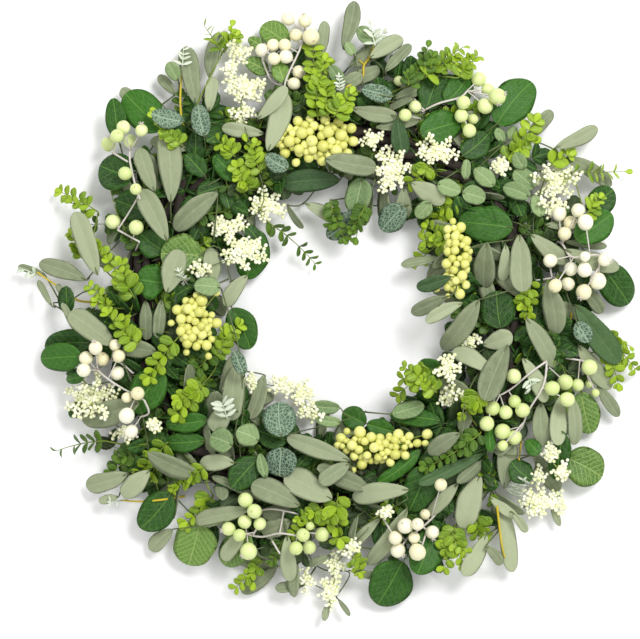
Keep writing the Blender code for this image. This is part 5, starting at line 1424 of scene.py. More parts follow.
def lay_beads(hub, half_x, half_y, count, rng, heap):
    """The solid buds of a head, spread evenly over it, but for those that touch something."""
    beads = []
    for index in range(count):
        share = math.sqrt((index + 0.5) / count)
        turn = index * GOLDEN_ANGLE + rng.uniform(*SPIRAL_SWERVE)
        spot = hub + Vector((half_x * share * math.cos(turn),
                             half_y * share * math.sin(turn), 0.0)) * PICTURE_PIXEL_MM
        radius = rng.uniform(*BUD_RADIUS)
        lift = rng.uniform(*BUD_RISE) + MIDDLE_BUD_RISE * (1.0 - share)
        centre = rest_ball(spot, radius, (heap,), lift)
        start = hub + (centre - hub).normalized() * BUD_STALK_START
        fat = with_neck(bead_mesh(centre, radius + SEAT), start, FLORET_STALK_RADIUS + SEAT)
        if not heap.touches(fat):
            beads.append({"centre": centre, "radius": radius, "stalk": start})
    return beads


def lay_florets(name, heads, ring, heap):
    """Node of heads of tiny florets on a stem."""
    rng = random.Random(f"{SEED} {name}")
    radius = TWIG_RADIUS["floret"]
    trunk = lay_trunk([plan(*head[0:2]) for head in heads], heap, radius)
    routes = bind([trunk], radius, ring, heap)
    hubs = []
    beads = []
    fine_buds = []
    for x_px, y_px, half_x, half_y, count in heads:
        hub = lay_core(plan(x_px, y_px), HUB_HALF_SIZES, heap)
        for stalk in stalks_to(hub, routes, radius, heap, None):
            if not heap.touches(tube_mesh(stalk + [hub], radius + SEAT)):
                break
        else:
            continue
        if (stalk[0] - hub).length > NEAR_A_STEM:
            routes.append(stalk + [hub])
        hubs.append((hub, *HUB_HALF_SIZES))
        fine_buds += spread_buds(hub, half_x, half_y, heap)
        kept = max(2, round(count * FLORET_SHARE))
        beads += lay_beads(hub, half_x, half_y, kept, rng, heap)
    return {"name": name, "hubs": hubs, "beads": beads, "routes": routes, "radius": radius,
            "fine_buds": fine_buds}


def node_meshes(node):
    """Closed bodies of a node, which the CAD fuses into one."""
    meshes = [blade_mesh(blade) for blade in node.get("blades", ())]
    if "core" in node:
        meshes.append(core_mesh(*node["core"]))
    for ball in node.get("balls", ()):
        body = berry_mesh(ball["centre"], ball["radius"])
        meshes.append(with_neck(body, ball["stalk"], BERRY_STALK_RADIUS))
    for ball in node.get("small_balls", ()):
        body = bead_mesh(ball["centre"], ball["radius"] * 1.1, ball["spin"])
        meshes.append(with_neck(body, ball["stalk"], node["radius"]) if ball["stalk"] else body)
    meshes += [core_mesh(*hub) for hub in node.get("hubs", ())]
    for bead in node.get("beads", ()):
        body = bead_mesh(bead["centre"], bead["radius"])
        meshes.append(with_neck(body, bead["stalk"], FLORET_STALK_RADIUS))
    meshes += [tube_mesh(route, node["radius"]) for route in node["routes"]]
    return meshes


def lay_node(name, ring, heap):
    """One foliage node, laid on what is there already."""
    for table, shape in ((BACK_LEAVES, SHORT_LEAF_ROWS), (LONG_LEAVES, LONG_LEAF_ROWS),
                         (BROAD_LEAVES, ROUND_LEAF_ROWS), (SMALL_LEAVES, SHORT_LEAF_ROWS)):
        if name in table:
            return lay_leaves(name, table[name], shape, ring, heap)
    for table, lay in ((LIME_SPRIGS, lay_sprigs), (YELLOW_BUNCHES, lay_bunch),
                       (BERRY_SPRAYS, lay_berries), (FLORET_HEADS, lay_florets)):
        if name in table:
            return lay(name, table[name], ring, heap)
    raise KeyError(name)


def lay_out():
    """All foliage nodes from the ring upwards."""
    ring = Heap([vine_mesh()])
    heap = Heap([vine_mesh()])
    nodes = []
    for name in LAYERS:
        nodes.append(lay_node(name, ring, heap))
        heap.add(node_meshes(nodes[-1]))
    return nodes


# Sockets of a mix of colours: share, first colour, second colour, and the result
MIX_INPUTS = (0, 6, 7)
MIX_OUTPUT = 2


def colour(red, green, blue):
    """Linear colour of a shade given in steps from 0 to 255."""
    steps = np.array((red, green, blue)) / 255.0
    linear = np.where(steps <= 0.04045, steps / 12.92, ((steps + 0.055) / 1.055) ** 2.4)
    return (*linear.tolist(), 1.0)


class Surface:
    """Material whose colour and relief are worked out by nodes."""

    def __init__(self, name, roughness, **uniform):
        self.made = bpy.data.materials.new(name)
        self.made.use_nodes = True
        self.nodes = self.made.node_tree.nodes
        self.links = self.made.node_tree.links
        self.shader = self.nodes["Principled BSDF"]
        self.shader.inputs["Roughness"].default_value = roughness
        for socket, value in uniform.items():
            self.shader.inputs[socket.replace("_", " ")].default_value = value

    def set(self, socket, value):
        """Gives a socket a value, or joins it to the output that holds the value."""
        if isinstance(value, bpy.types.NodeSocket):
            self.links.new(value, socket)
        else:
            socket.default_value = value

    def math(self, operation, *values, clamp=False):
        """Result of a sum on values or outputs."""
        node = self.nodes.new("ShaderNodeMath")
        node.operation = operation
        node.use_clamp = clamp
        for socket, value in zip(node.inputs, values):
            self.set(socket, value)
        return node.outputs[0]

    def times(self, first, second):
        """Product of two values or outputs."""
        return self.math("MULTIPLY", first, second)

    def mix(self, share, first, second):
        """Colour between two, by a share from nought to one."""
        node = self.nodes.new("ShaderNodeMix")
        node.data_type = "RGBA"
        node.clamp_factor = True
        for index, value in zip(MIX_INPUTS, (share, first, second)):
            self.set(node.inputs[index], value)
        return node.outputs[MIX_OUTPUT]

    def numbers(self, attribute):
        """The three numbers kept under a name at each point."""
        source = self.nodes.new("ShaderNodeAttribute")
        source.attribute_name = attribute
        split = self.nodes.new("ShaderNodeSeparateXYZ")
        self.links.new(source.outputs["Vector"], split.inputs[0])
        return split.outputs

    def vector(self, *values):
        """Vector made of three values."""
        node = self.nodes.new("ShaderNodeCombineXYZ")
        for socket, value in zip(node.inputs, values):
            self.set(socket, value)
        return node.outputs[0]

    def noise(self, vector, scale, detail=3.0):
        """Soft noise from nought to one."""
        node = self.nodes.new("ShaderNodeTexNoise")
        self.set(node.inputs["Vector"], vector)
        node.inputs["Scale"].default_value = scale
        node.inputs["Detail"].default_value = detail
        return node.outputs["Fac"]

    def cells(self, vector, scale):
        """Distance to the nearest edge between cells."""
        node = self.nodes.new("ShaderNodeTexVoronoi")
        node.feature = "DISTANCE_TO_EDGE"
        self.set(node.inputs["Vector"], vector)
        node.inputs["Scale"].default_value = scale
        return node.outputs["Distance"]

    def near(self, distance, width):
        """One where the distance is nought, falling to nought at the width."""
        share = self.math("DIVIDE", distance, width)
        return self.math("SUBTRACT", 1.0, share, clamp=True)

    def finish(self, shade, relief, strength, depth_mm):
        """The material, with its colour and relief joined to the shader."""
        self.set(self.shader.inputs["Base Color"], shade)
        bump = self.nodes.new("ShaderNodeBump")
        bump.inputs["Strength"].default_value = strength
        bump.inputs["Distance"].default_value = depth_mm * MM_TO_M
        self.links.new(relief, bump.inputs["Height"])
        self.links.new(bump.outputs["Normal"], self.shader.inputs["Normal"])
        return self.made


def leaf_veins(made, along_mm, across_mm, shift, gap, rib_share, vein_share, net_share, width):
    """How much of a vein there is: the midrib, side veins, and a net between them."""
    off_rib = made.math("ABSOLUTE", across_mm)
    wander = made.times(made.noise(made.vector(along_mm, off_rib, shift), 0.25), 2.2)
    slant = made.math("SUBTRACT", along_mm, made.times(off_rib, 0.85))
    phase = made.math("DIVIDE", made.math("ADD", slant, wander), gap)
    to_vein = made.times(made.math("PINGPONG", phase, 0.5), gap)
    veins = made.times(made.near(to_vein, width), vein_share)
    if net_share:
        cells = made.cells(made.vector(along_mm, across_mm, shift), 0.34)
        veins = made.math("MAXIMUM", veins, made.times(made.near(cells, 0.12), net_share))
    midrib = made.times(made.near(off_rib, 0.8), rib_share)
    return made.math("MAXIMUM", veins, midrib)


def leaf_surface(name, dark, light, rib, roughness, vein_gap, veins_seen, gloss=0.3):
    """Leaf with a midrib, side veins, a net between them and a paler underside."""
    made = Surface(name, roughness, Specular_IOR_Level=gloss)
    dark, light, rib = colour(*dark), colour(*light), colour(*rib)
    _, across, tone = made.numbers("leaf_place")
    along_mm, across_mm, under = made.numbers("leaf_spot")
    shift = made.times(tone, 37.0)
    grain = made.noise(made.vector(made.times(along_mm, 0.16), across_mm, shift), 1.3)
    patches = made.noise(made.vector(along_mm, across_mm, shift), 0.12, 2.0)
    to_edge = made.math("SUBTRACT", 1.0, made.math("ABSOLUTE", across))
    edge = made.near(to_edge, 0.5)
    shade = made.mix(tone, dark, light)
    patchy = made.times(made.math("ADD", patches, edge), 0.45)
    shade = made.mix(made.times(patchy, patches), shade, light)
    lighter = made.mix(0.14, shade, (1.0, 1.0, 0.8, 1.0))
    shade = made.mix(made.math("SUBTRACT", grain, 0.42, clamp=True), shade, lighter)
    veins = leaf_veins(made, along_mm, across_mm, shift, vein_gap, *veins_seen)
    shade = made.mix(made.times(veins, 0.8), shade, rib)
    rim = made.near(to_edge, 0.12)
    shade = made.mix(made.times(rim, 0.2), shade, rib)
    pale = made.mix(0.35, shade, light)
    shade = made.mix(under, shade, pale)
    sunk = made.times(veins, -0.6)
    relief = made.math("ADD", sunk, made.times(grain, 0.5))
    return made.finish(shade, relief, 0.5, 0.5)


def berry_surface(name, dark, light, tip):
    """Smooth skinned berry with pale specks and a small dry tip."""
    made = Surface(name, 0.36, Subsurface_Weight=0.1)
    made.shader.inputs["Subsurface Radius"].default_value = (0.003, 0.003, 0.002)
    along, _, tone = made.numbers("leaf_place")
    along_mm, across_mm, _ = made.numbers("leaf_spot")
    shift = made.times(tone, 41.0)
    place = made.vector(along_mm, across_mm, shift)
    spots = made.noise(place, 0.5)
    specks = made.noise(place, 2.4, 1.0)
    shade = made.mix(tone, colour(*dark), colour(*light))
    shade = made.mix(made.times(spots, 0.3), shade, colour(*dark))
    white = made.times(made.math("SUBTRACT", specks, 0.52, clamp=True), 1.8)
    shade = made.mix(white, shade, colour(252, 252, 240))
    shade = made.mix(made.near(along, 0.12), shade, colour(*dark))
    dry = made.near(made.math("SUBTRACT", 1.0, along), 0.07)
    shade = made.mix(dry, shade, colour(*tip))
    return made.finish(shade, specks, 0.25, 0.3)


def stem_surface(name, dark, light, roughness=0.65):
    """Twig with short marks along it."""
    made = Surface(name, roughness)
    _, _, tone = made.numbers("leaf_place")
    along_mm, across_mm, _ = made.numbers("leaf_spot")
    marks = made.noise(made.vector(made.times(along_mm, 0.3), across_mm, tone), 1.4)
    shade = made.mix(marks, colour(*dark), colour(*light))
    return made.finish(shade, marks, 0.4, 0.4)


def bark_surface():
    """Dark bark with long ridges."""
    made = Surface("vine_bark", 0.85)
    _, _, tone = made.numbers("leaf_place")
    along_mm, across_mm, _ = made.numbers("leaf_spot")
    shift = made.times(tone, 61.0)
    ridges = made.noise(made.vector(made.times(along_mm, 0.06), across_mm, shift), 0.9,
                        5.0)
    patches = made.noise(made.vector(along_mm, across_mm, shift), 0.03, 3.0)
    shade = made.mix(ridges, colour(18, 14, 11), colour(66, 54, 44))
    shade = made.mix(made.times(patches, 0.5), shade, colour(40, 34, 28))
    return made.finish(shade, ridges, 0.8, 1.2)


def make_surfaces():
    """Every material of the wreath by its short name."""
    return {
        "long": leaf_surface("long_leaf", (102, 113, 84), (164, 173, 138), (172, 180, 150),
                             0.85, 5.0, (0.45, 0.12, 0.0, 0.4), 0.2),
        "dark_long": leaf_surface("dark_long_leaf", (40, 70, 36), (66, 98, 50),
                                  (100, 126, 78), 0.6, 5.0, (0.6, 0.2, 0.0, 0.4)),
        # Dark leaf used only in the undergrowth: its darkness is painted shade for the depths of
        # the wreath
        "under": leaf_surface("shaded_under_leaf", (26, 48, 18), (66, 88, 40), (90, 110, 64),
                              0.6, 5.0, (0.7, 0.2, 0.0, 0.4)),
        "broad": leaf_surface("broad_leaf", (4, 38, 6), (44, 98, 14), (104, 150, 60),
                              0.5, 6.5, (0.85, 0.5, 0.2, 0.45), 0.2),
        "mid": leaf_surface("veined_leaf", (62, 100, 30), (96, 136, 48), (164, 186, 104),
                            0.45, 5.0, (1.0, 0.85, 0.4, 0.6), 0.35),
        "net": leaf_surface("net_leaf", (38, 62, 48), (76, 102, 80), (172, 194, 166),
                            0.65, 4.5, (1.0, 0.6, 0.8, 0.45), 0.2),
        "silver": leaf_surface("silver_leaf", (90, 118, 72), (132, 156, 104), (178, 192, 144),
                               0.65, 5.0, (0.8, 0.45, 0.25, 0.5), 0.2),
        "lime": leaf_surface("lime_leaf", (66, 106, 10), (154, 184, 30), (172, 196, 64),
                             0.45, 3.0, (0.6, 0.12, 0.0, 0.3)),
        "dark_lime": leaf_surface("dark_lime_leaf", (32, 66, 12), (88, 124, 18),
                                  (112, 144, 50), 0.5, 3.0, (0.6, 0.12, 0.0, 0.3)),
        "white_berry": berry_surface("white_berry", (228, 220, 174), (246, 244, 222),
                                     (150, 120, 70)),
        "green_berry": berry_surface("green_berry", (198, 214, 130), (232, 240, 176),
                                     (140, 130, 60)),
        "yellow_berry": berry_surface("yellow_berry", (202, 202, 88), (234, 234, 138),
                                      (150, 130, 50)),
        "bud": berry_surface("bud", (226, 230, 172), (253, 253, 238), (240, 240, 200)),
        "leaf_stem": stem_surface("leaf_stem", (66, 80, 42), (104, 118, 70)),
        "lime_stem": stem_surface("lime_stem", (84, 108, 26), (134, 152, 46)),
        "pale_stem": stem_surface("pale_stem", (180, 172, 162), (226, 220, 212)),
        "floret_stem": stem_surface("floret_stem", (128, 148, 58), (176, 188, 98)),
        "yellow_stem": stem_surface("yellow_stem", (176, 152, 20), (214, 196, 54)),
        "wire": stem_surface("wire", (10, 34, 16), (28, 62, 32)),
        "frost": leaf_surface("frosted_leaf", (160, 178, 146), (214, 222, 200),
                              (240, 242, 230), 0.7, 3.0, (0.6, 0.2, 0.0, 0.3)),
        "bark": bark_surface(),
    }


class Piece:
    """Closed shapes of one piece, gathered before they become a mesh."""

    def __init__(self):
        self.points = []
        self.faces = []
        self.place = []
        self.spot = []
        self.looks = []
        self.face_looks = []
        self.count = 0

    def loft(self, loops, look, place, spot):
        """Closed shape through loops of points, each loop with as many points.

        Place is how far along and across a point is, as shares, and the tone. Spot is how far
        along and across it is in millimetres, and whether it is on the underside.
        """
        rows, sides = loops.shape[:2]
        if look not in self.looks:
            self.looks.append(look)
        first = self.count
        for row in range(rows - 1):
            for side in range(sides):
                beside = (side + 1) % sides
                here = first + row * sides
                self.faces.append((here + side, here + beside, here + sides + beside,
                                   here + sides + side))
        last = first + (rows - 1) * sides
        self.faces.append(tuple(range(first + sides - 1, first - 1, -1)))
        self.faces.append(tuple(range(last, last + sides)))
        self.face_looks += [self.looks.index(look)] * ((rows - 1) * sides + 2)
        points = loops.reshape(-1, 3).copy()
        points[:, 2] += max(0.0, LOWEST - points[:, 2].min())
        self.points.append(points)
        for kept, values in ((self.place, place), (self.spot, spot)):
            spread = [np.broadcast_to(value, (rows, sides)) for value in values]
            kept.append(np.stack(spread, -1).reshape(-1, 3))
        self.count += rows * sides

    def build(self, node):
        """Object that stands for a node of the frame."""
        mesh = bpy.data.meshes.new(f"fine_{node}")
        points = np.concatenate(self.points) * MM_TO_M
        mesh.from_pydata(points.tolist(), [], self.faces)
        for name, values in (("leaf_place", self.place), ("leaf_spot", self.spot)):
            kept = mesh.attributes.new(name, "FLOAT_VECTOR", "POINT")
            kept.data.foreach_set("vector", np.concatenate(values).astype(np.float32).ravel())
        for look in self.looks:
            mesh.materials.append(SURFACES[look])
        mesh.polygons.foreach_set("material_index", self.face_looks)
        mesh.shade_smooth()
        made = bpy.data.objects.new(f"fine_{node}", mesh)
        bpy.context.scene.collection.objects.link(made)
        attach(made, "root")
        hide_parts(node)
        return made


def unit(vectors):
    """The vectors at length one."""
    return vectors / np.maximum(np.linalg.norm(vectors, axis=-1, keepdims=True), 1e-9)


def smooth_route(route, steps):
    """Points on a smooth curve through the route."""
    route = np.array([tuple(point) for point in route], float)
    if len(route) < 3:
        share = np.linspace(0.0, 1.0, steps + 1)[:, None]
        return route[0] * (1.0 - share) + route[-1] * share
    padded = np.concatenate([[2 * route[0] - route[1]], route, [2 * route[-1] - route[-2]]])
    made = []
    for index in range(1, len(padded) - 2):
        a, b, c, d = padded[index - 1:index + 3]
        for step in range(steps):
            t = step / steps
            made.append(0.5 * (2 * b + (c - a) * t + (2 * a - 5 * b + 4 * c - d) * t * t
                               + (3 * b - a - 3 * c + d) * t ** 3))
    made.append(route[-1])
    return np.array(made)


def ring_frames(path):
    """Two directions across the path at each of its points, which turn as little as they can."""
    along = unit(np.gradient(path, axis=0))
    start = np.cross(along[0], (0.0, 0.0, 1.0))
    if np.linalg.norm(start) < 0.1:
        start = np.cross(along[0], (1.0, 0.0, 0.0))
    across = [unit(start)]
    for direction in along[1:]:
        kept = across[-1] - direction * np.dot(across[-1], direction)
        across.append(unit(kept))
    across = np.array(across)
    return across, np.cross(along, across)


def path_lengths(path):
    """Length along a path up to each of its points."""
    return np.concatenate([[0.0], np.cumsum(np.linalg.norm(np.diff(path, axis=0), axis=1))])


def thin_loops(points, normal, thickness):
    """Loops round a thin closed sheet, sharp at both edges."""
    above = points + normal * (thickness / 2.0)
    below = points - normal * (thickness / 2.0)
    above[:, (0, -1)] = points[:, (0, -1)]
    return np.concatenate([above, below[:, -2:0:-1]], axis=1)


def underside(columns):
    """Nought for the upper side of a leaf and one for its underside, round a loop."""
    return np.concatenate([np.zeros(columns), np.ones(columns - 2)])


def add_tube(piece, path, radii, look, tone, sides):
    """Round stem along a path."""
    path = np.stack([path[:, 0], path[:, 1], np.maximum(path[:, 2], LOWEST + np.max(radii))], -1)
    across, above = ring_frames(path)
    turn = np.linspace(0.0, math.tau, sides, endpoint=False)
    radii = np.broadcast_to(radii, len(path))[:, None, None]
    loops = path[:, None] + radii * (across[:, None] * np.cos(turn)[None, :, None]
                                     + above[:, None] * np.sin(turn)[None, :, None])
    lengths = path_lengths(path)
    piece.loft(loops, look, ((lengths / lengths[-1])[:, None], 0.0, tone),
               (lengths[:, None], np.abs(turn - math.pi)[None, :] * radii[:, :, 0], 0.0))


def add_twig(piece, path, radii, look, rng, sides, share=1.0):
    """Stem whose radius goes evenly from the first of two to the second, times a share."""
    add_tube(piece, path, share * np.linspace(*radii, len(path)), look, rng.random(), sides)


def leaf_width(along, shape):
    """Half width of a leaf as a share of its widest, at each place along it."""
    widest, taper, bluntness = shape
    toward_widest = np.minimum(along / widest, 1.0)
    past_widest = np.maximum((along - widest) / (1.0 - widest), 0.0)
    fuller = np.sin(toward_widest * math.pi / 2.0) ** taper
    return fuller * np.sqrt(1.0 - past_widest ** bluntness)


def blade_surface(blade, along, across):
    """Points of the middle of a blade, as the CAD places them."""
    base = np.array(blade["base"])
    run = np.array(blade["tip"]) - base
    length = np.linalg.norm(run)
    side = np.array((-run[1], run[0], 0.0)) / length
    hump = 4.0 * along * (1.0 - along)
    points = base + run * along[..., None] + side * (across + blade["bow"] * length
                                                     * hump)[..., None]
    points[..., 2] = (blade["height"] + blade["rise"] * along * length
                      + blade["arch"] * length * hump + blade["lean"] * across
                      + blade["fold"] * np.abs(across))
    return points


def add_leaf(piece, blade, half_width, shape, look, tone, wave, rng, columns=9, rows=17):
    """Thin closed leaf that follows its blade, with a sunken rib and waved edges."""
    length = (blade["tip"] - blade["base"]).length
    ease = np.linspace(0.0, 1.0, rows)
    along = 0.5 - 0.5 * np.cos(math.pi * (0.04 + 0.93 * ease))
    share = np.linspace(-1.0, 1.0, columns)
    width = np.maximum(leaf_width(along, shape) * half_width, 0.5)
    waves = rng.uniform(1.5, 3.2)
    start = rng.uniform(0.0, math.tau)
    uneven = 1.0 + 0.05 * np.sin(waves * 3.0 * along[:, None] + start + 2.4 * np.sign(share))
    across = share[None, :] * width[:, None] * uneven
    points = blade_surface(blade, np.repeat(along[:, None], columns, 1), across)
    ripple = wave * share[None, :] ** 2 * np.sin(waves * math.tau * along[:, None] + start
                                                 + 0.9 * share[None, :])
    lift = ripple * (width / half_width)[:, None]
    cupping = rng.uniform(*CUPPING) * half_width
    lift = lift + cupping * share[None, :] ** 2
    lift = lift - RIB_DEPTH * np.exp(-(across / RIB_HALF_WIDTH) ** 2)
    droop = rng.uniform(*DROOP) * length
    lift = lift - droop * np.maximum(along[:, None] - DROOP_FROM, 0.0) ** 2 * 6.0
    points[..., 2] += lift
    slope_along = np.gradient(points, axis=0)
    slope_across = np.gradient(points, axis=1)
    normal = unit(np.cross(slope_along, slope_across))
    loops = thin_loops(points, normal, LEAF_THICKNESS)
    shares = np.concatenate([share, share[-2:0:-1]])
    under = underside(columns)
    piece.loft(loops[:, ::-1], look, (along[:, None], shares[None, ::-1], tone),
               ((along * length)[:, None], (shares[None, :] * width[:, None])[:, ::-1],
                under[None, ::-1]))


def add_stalk(piece, blade, look, rng):
    """Stalk between the stem and the foot of a blade."""
    foot = blade["base"] + UP * (blade["height"] + blade_height(blade, 0.0, 0.0))
    into = Vector(blade_surface(blade, np.array([0.12]), np.array([0.0]))[0])
    start = blade["stalk"][0] - UP * STEM_SINK
    path = smooth_route([start] + blade["stalk"][1:] + [foot, into], 4)
    add_twig(piece, path, STALK_RADII, look, rng, 6)


def leaflet_loops(foot, heading, above, length, width, shape, rows, bend):
    """Loops of points round a small leaf, and its places along and across."""
    side = np.cross(above, heading)
    along = 0.5 - 0.5 * np.cos(math.pi * np.linspace(*OUTLINE_ENDS, rows))
    share = np.linspace(-1.0, 1.0, LEAFLET_COLUMNS)
    reach = np.maximum(leaf_width(along, shape) * width, 0.35)
    across = share[None, :] * reach[:, None]
    lift = bend[0] * np.abs(across) + bend[1] * length * along[:, None] ** 2
    points = (foot + heading * (along * length)[:, None, None] + side * across[..., None]
              + above * lift[..., None])
    loops = thin_loops(points, above, LEAFLET_THICKNESS)
    return points, loops, along, np.concatenate([share, share[-2:0:-1]]), reach


def add_leaflet(piece, foot, heading, above, length, width, look, tone, rng,
                shape=LEAFLET_SHAPE, rows=6, behind=False):
    """One small leaf from its foot, left out where it would cut through another part."""
    bend = (rng.uniform(*LEAFLET_FOLD), rng.uniform(*LEAFLET_BEND))
    points, loops, along, shares, reach = leaflet_loops(foot, heading, above, length, width,
                                                        shape, rows, bend)
    past = BEHIND_PAST_OUTLINE if behind else PAST_OUTLINE
    if loops[..., 2].min() < LOWEST or not is_in_outline(*points[-1, 2, :2], past):
        return
    middle = rows // 2
    ways = ((foot, points[-1, 2]), (points[1, 2], points[middle, 0]),
            (points[1, 2], points[middle, -1]), (points[middle, 0], points[-1, 2]),
            (points[middle, -1], points[-1, 2]), (points[middle, 0], points[middle, -1]))
    if not all(is_free(start, end) for start, end in ways):
        return
    spots = (points[middle, 2], points[middle, 0], points[middle, -1], points[-2, 2])
    if behind and any(FOLIAGE.ray_cast(Vector(spot), -UP)[0] for spot in spots):
        return
    # Leaves behind the rest keep only a share of their tone: painted shade for the depths of the
    # wreath
    tone *= UNDERGROWTH_SHADE_TONE if behind else 1.0
    under = underside(LEAFLET_COLUMNS)
    piece.loft(loops, look, (along[:, None], shares[None, :], tone),
               ((along * length)[:, None], shares[None, :] * reach[:, None], under[None, :]))


def is_free(start, end):
    """Whether nothing lies between two points."""
    way = Vector(end) - Vector(start)
    return OBSTACLES.ray_cast(Vector(start), way, way.length)[0] is None


def is_in_outline(x, y, beside):
    """Whether a place is over the body of the wreath or beside one of its outer leaves."""
    if BODY_REACH[0] < math.hypot(x, y) < BODY_REACH[1]:
        return True
    for across, up in ((0.0, 0.0), (beside, 0.0), (-beside, 0.0), (0.0, beside), (0.0, -beside)):
        if FOLIAGE.ray_cast(Vector((x + across, y + up, HIGH_ABOVE)), -UP)[0]:
            return True
    return False


def find_obstacles(nodes, with_sprigs=False):
    """Leaves, berries and tufts that small leaves keep clear of, and the sprigs if asked."""
    meshes = []
    for node in nodes:
        meshes += [blade_mesh(blade) for blade in node.get("blades", ())
                   if with_sprigs or not blade["pairs"]]
        meshes += [berry_mesh(ball["centre"], ball["radius"])
                   for kind in ("balls", "small_balls") for ball in node.get(kind, ())]
        meshes += [core_mesh(*node["core"])] if "core" in node else []
        meshes += [berry_mesh(tuft, TUFT_SIZE) for _, tuft, _ in node.get("fine_buds", ())]
    return Heap(meshes).tree


def add_spray(piece, path, reach, look, stem_look, rng, habit, behind=False):
    """Small leaves in crossed pairs along a thin stem that follows the path."""
    gap, long_share, wide_share, shape, rows, lean = habit
    add_twig(piece, path, TWIG_RADII, stem_look, rng, 5)
    lengths = path_lengths(path)
    along = unit(np.gradient(path, axis=0))
    whorls = max(2, round(lengths[-1] / (reach * gap)))
    for whorl in range(whorls + 1):
        share = (whorl + 0.35) / (whorls + 0.35)
        spot = share * lengths[-1]
        foot = np.array([np.interp(spot, lengths, path[:, axis]) for axis in range(3)])
        heading = along[min(len(path) - 1, int(share * (len(path) - 1)))]
        over = unit(np.array((0.0, 0.0, 1.0)) - heading * heading[2])
        size = reach * (FOOT_SIZE - SIZE_TAPER * share) * rng.uniform(*SIZE_RANGE)
        turned = (whorl % 2) * math.radians(rng.uniform(*PAIR_TURN_DEG))
        turned += rng.uniform(*PAIR_SWERVE)
        for hand in (-1.0, 1.0):
            tilt = turned if hand > 0 else math.pi - turned * rng.uniform(0.2, 1.0)
            side = np.cross(over, heading)
            out = side * math.cos(tilt) + over * abs(math.sin(tilt))
            aim = unit(out + heading * rng.uniform(*AIM_FORWARD))
            normal = unit(np.cross(aim, np.cross(over + lean * heading, aim)))
            tone = min(1.0, rng.uniform(*TONE_RANGE) + TIP_PALER * share)
            add_leaflet(piece, foot, aim, normal, size * long_share, size * wide_share, look,
                        tone, rng, shape, rows, behind)
    aim = unit(along[-1] + TIP_RISE * over)
    normal = unit(np.cross(aim, np.cross(over, aim)))
    add_leaflet(piece, path[-1], aim, normal, reach * long_share * TIP_SIZE,
                reach * wide_share * TIP_SIZE, look, 1.0, rng, shape, rows, behind)


def add_sprig(piece, blade, rng):
    """Sprig of leaflets along the line of its blade, with a smaller one beside it."""
    look = "dark_lime" if blade["key"] in DARK_SPRIGS else "lime"
    ease = np.linspace(0.0, 0.93, 4 * blade["pairs"] + 6)
    path = blade_surface(blade, ease, np.zeros(len(ease)))
    leaf_reach = min(max(blade["reach"] * LIME_REACH_SHARE, LIME_REACH[0]), LIME_REACH[1])
    tip = Vector((path[-1, 0], path[-1, 1], 0.0))
    if any((tip - plan(*place)).length < EDGE_ON_WITHIN for place in EDGE_ON_TIPS_PX):
        add_spray(piece, path, leaf_reach, look, "lime_stem", rng, EDGE_HABIT)
        return
    add_spray(piece, path, leaf_reach, look, "lime_stem", rng, LIME_HABIT)
    run = path[-1] - path[0]
    side = np.array((-run[1], run[0], 0.0)) * rng.choice((-1.0, 1.0))
    start = path[int(len(path) * rng.uniform(*SIDE_START))]
    end = start + run * rng.uniform(*SIDE_RUN) + side * rng.uniform(*SIDE_OUT)
    end[2] += rng.uniform(*SIDE_RISE)
    knee = (start + end) / 2.0 + np.array((0.0, 0.0, rng.uniform(*SIDE_KNEE_RISE)))
    if is_free(start, knee) and is_free(knee, end):
        add_spray(piece, smooth_route([start, knee, end], 4), leaf_reach * SIDE_SIZE, look,
                  "lime_stem", rng, LIME_HABIT)


def add_ball(piece, centre, radius, stalk_from, look, tone, sides, rows, egg=1.04):
    """Smooth berry with its stalk end towards the stalk."""
    centre = np.array(centre)
    axis = unit(centre - np.array(stalk_from))
    across = unit(np.cross(axis, (0.3, 0.9, 0.2)))
    above = np.cross(axis, across)
    angle = np.linspace(0.12, math.pi - 0.10, rows)
    turn = np.linspace(0.0, math.tau, sides, endpoint=False)
    spread = (np.sin(angle) * (1.0 - 0.05 * np.cos(angle)))[:, None, None] * radius
    loops = (centre - axis * (np.cos(angle) * egg * radius)[:, None, None]
             + spread * (across * np.cos(turn)[None, :, None]
                         + above * np.sin(turn)[None, :, None]))
    piece.loft(loops[:, ::-1], look, ((angle / math.pi)[:, None], 0.0, tone),
               ((angle * radius)[:, None], (turn * radius)[None, ::-1], 0.0))


def leaf_look(blade, kind):
    """Material of a leaf, its outline, and how far its edges wave."""
    key = blade["key"]
    if kind == "long":
        look = "dark_long" if key in DARK_LONG_LEAVES else "long"
        return look, LONG_SHAPE, LONG_WAVE
    look = "broad" if kind == "broad" else "silver"
    for keys, other in ((NET_LEAVES, "net"), (SILVER_LEAVES, "silver"),
                        (MID_GREEN_LEAVES, "mid")):
        if key in keys:
            look = other
    return look, ROUND_SHAPE, BROAD_WAVE if kind == "broad" else SMALL_WAVE


def finish_blades(piece, node, kind, rng):
    """Fine leaves and sprigs of a node, with their stalks."""
    for blade in node["blades"]:
        if blade["pairs"]:
            add_sprig(piece, blade, rng)
            add_stalk(piece, blade, "lime_stem", rng)
            continue
        look, shape, wave = leaf_look(blade, kind)
        half_width = max(row[1] for row in blade["rows"])
        # Back leaves get only the darker tones: painted shade for lying behind the others
        tone = rng.uniform(0.0, BACK_LEAF_SHADED_TONE if node["name"].startswith("back") else 1.0)
        add_leaf(piece, blade, half_width, shape, look, tone, wave, rng)
        add_stalk(piece, blade, "leaf_stem", rng)


def finish_routes(piece, node, look, rng, thinner, sink=0.0):
    """Stems of a node, which can run below the way that the CAD gives them."""
    for route in node["routes"]:
        path = smooth_route(route, 5)
        path[:, 2] -= sink * np.sin(np.linspace(0.0, math.pi, len(path))) ** 0.4
        for _ in range(3):
            path[1:-1] = (path[:-2] + 2.0 * path[1:-1] + path[2:]) / 4.0
        add_twig(piece, path, STEM_SHARES, look, rng, STEM_SIDES, node["radius"] * thinner)


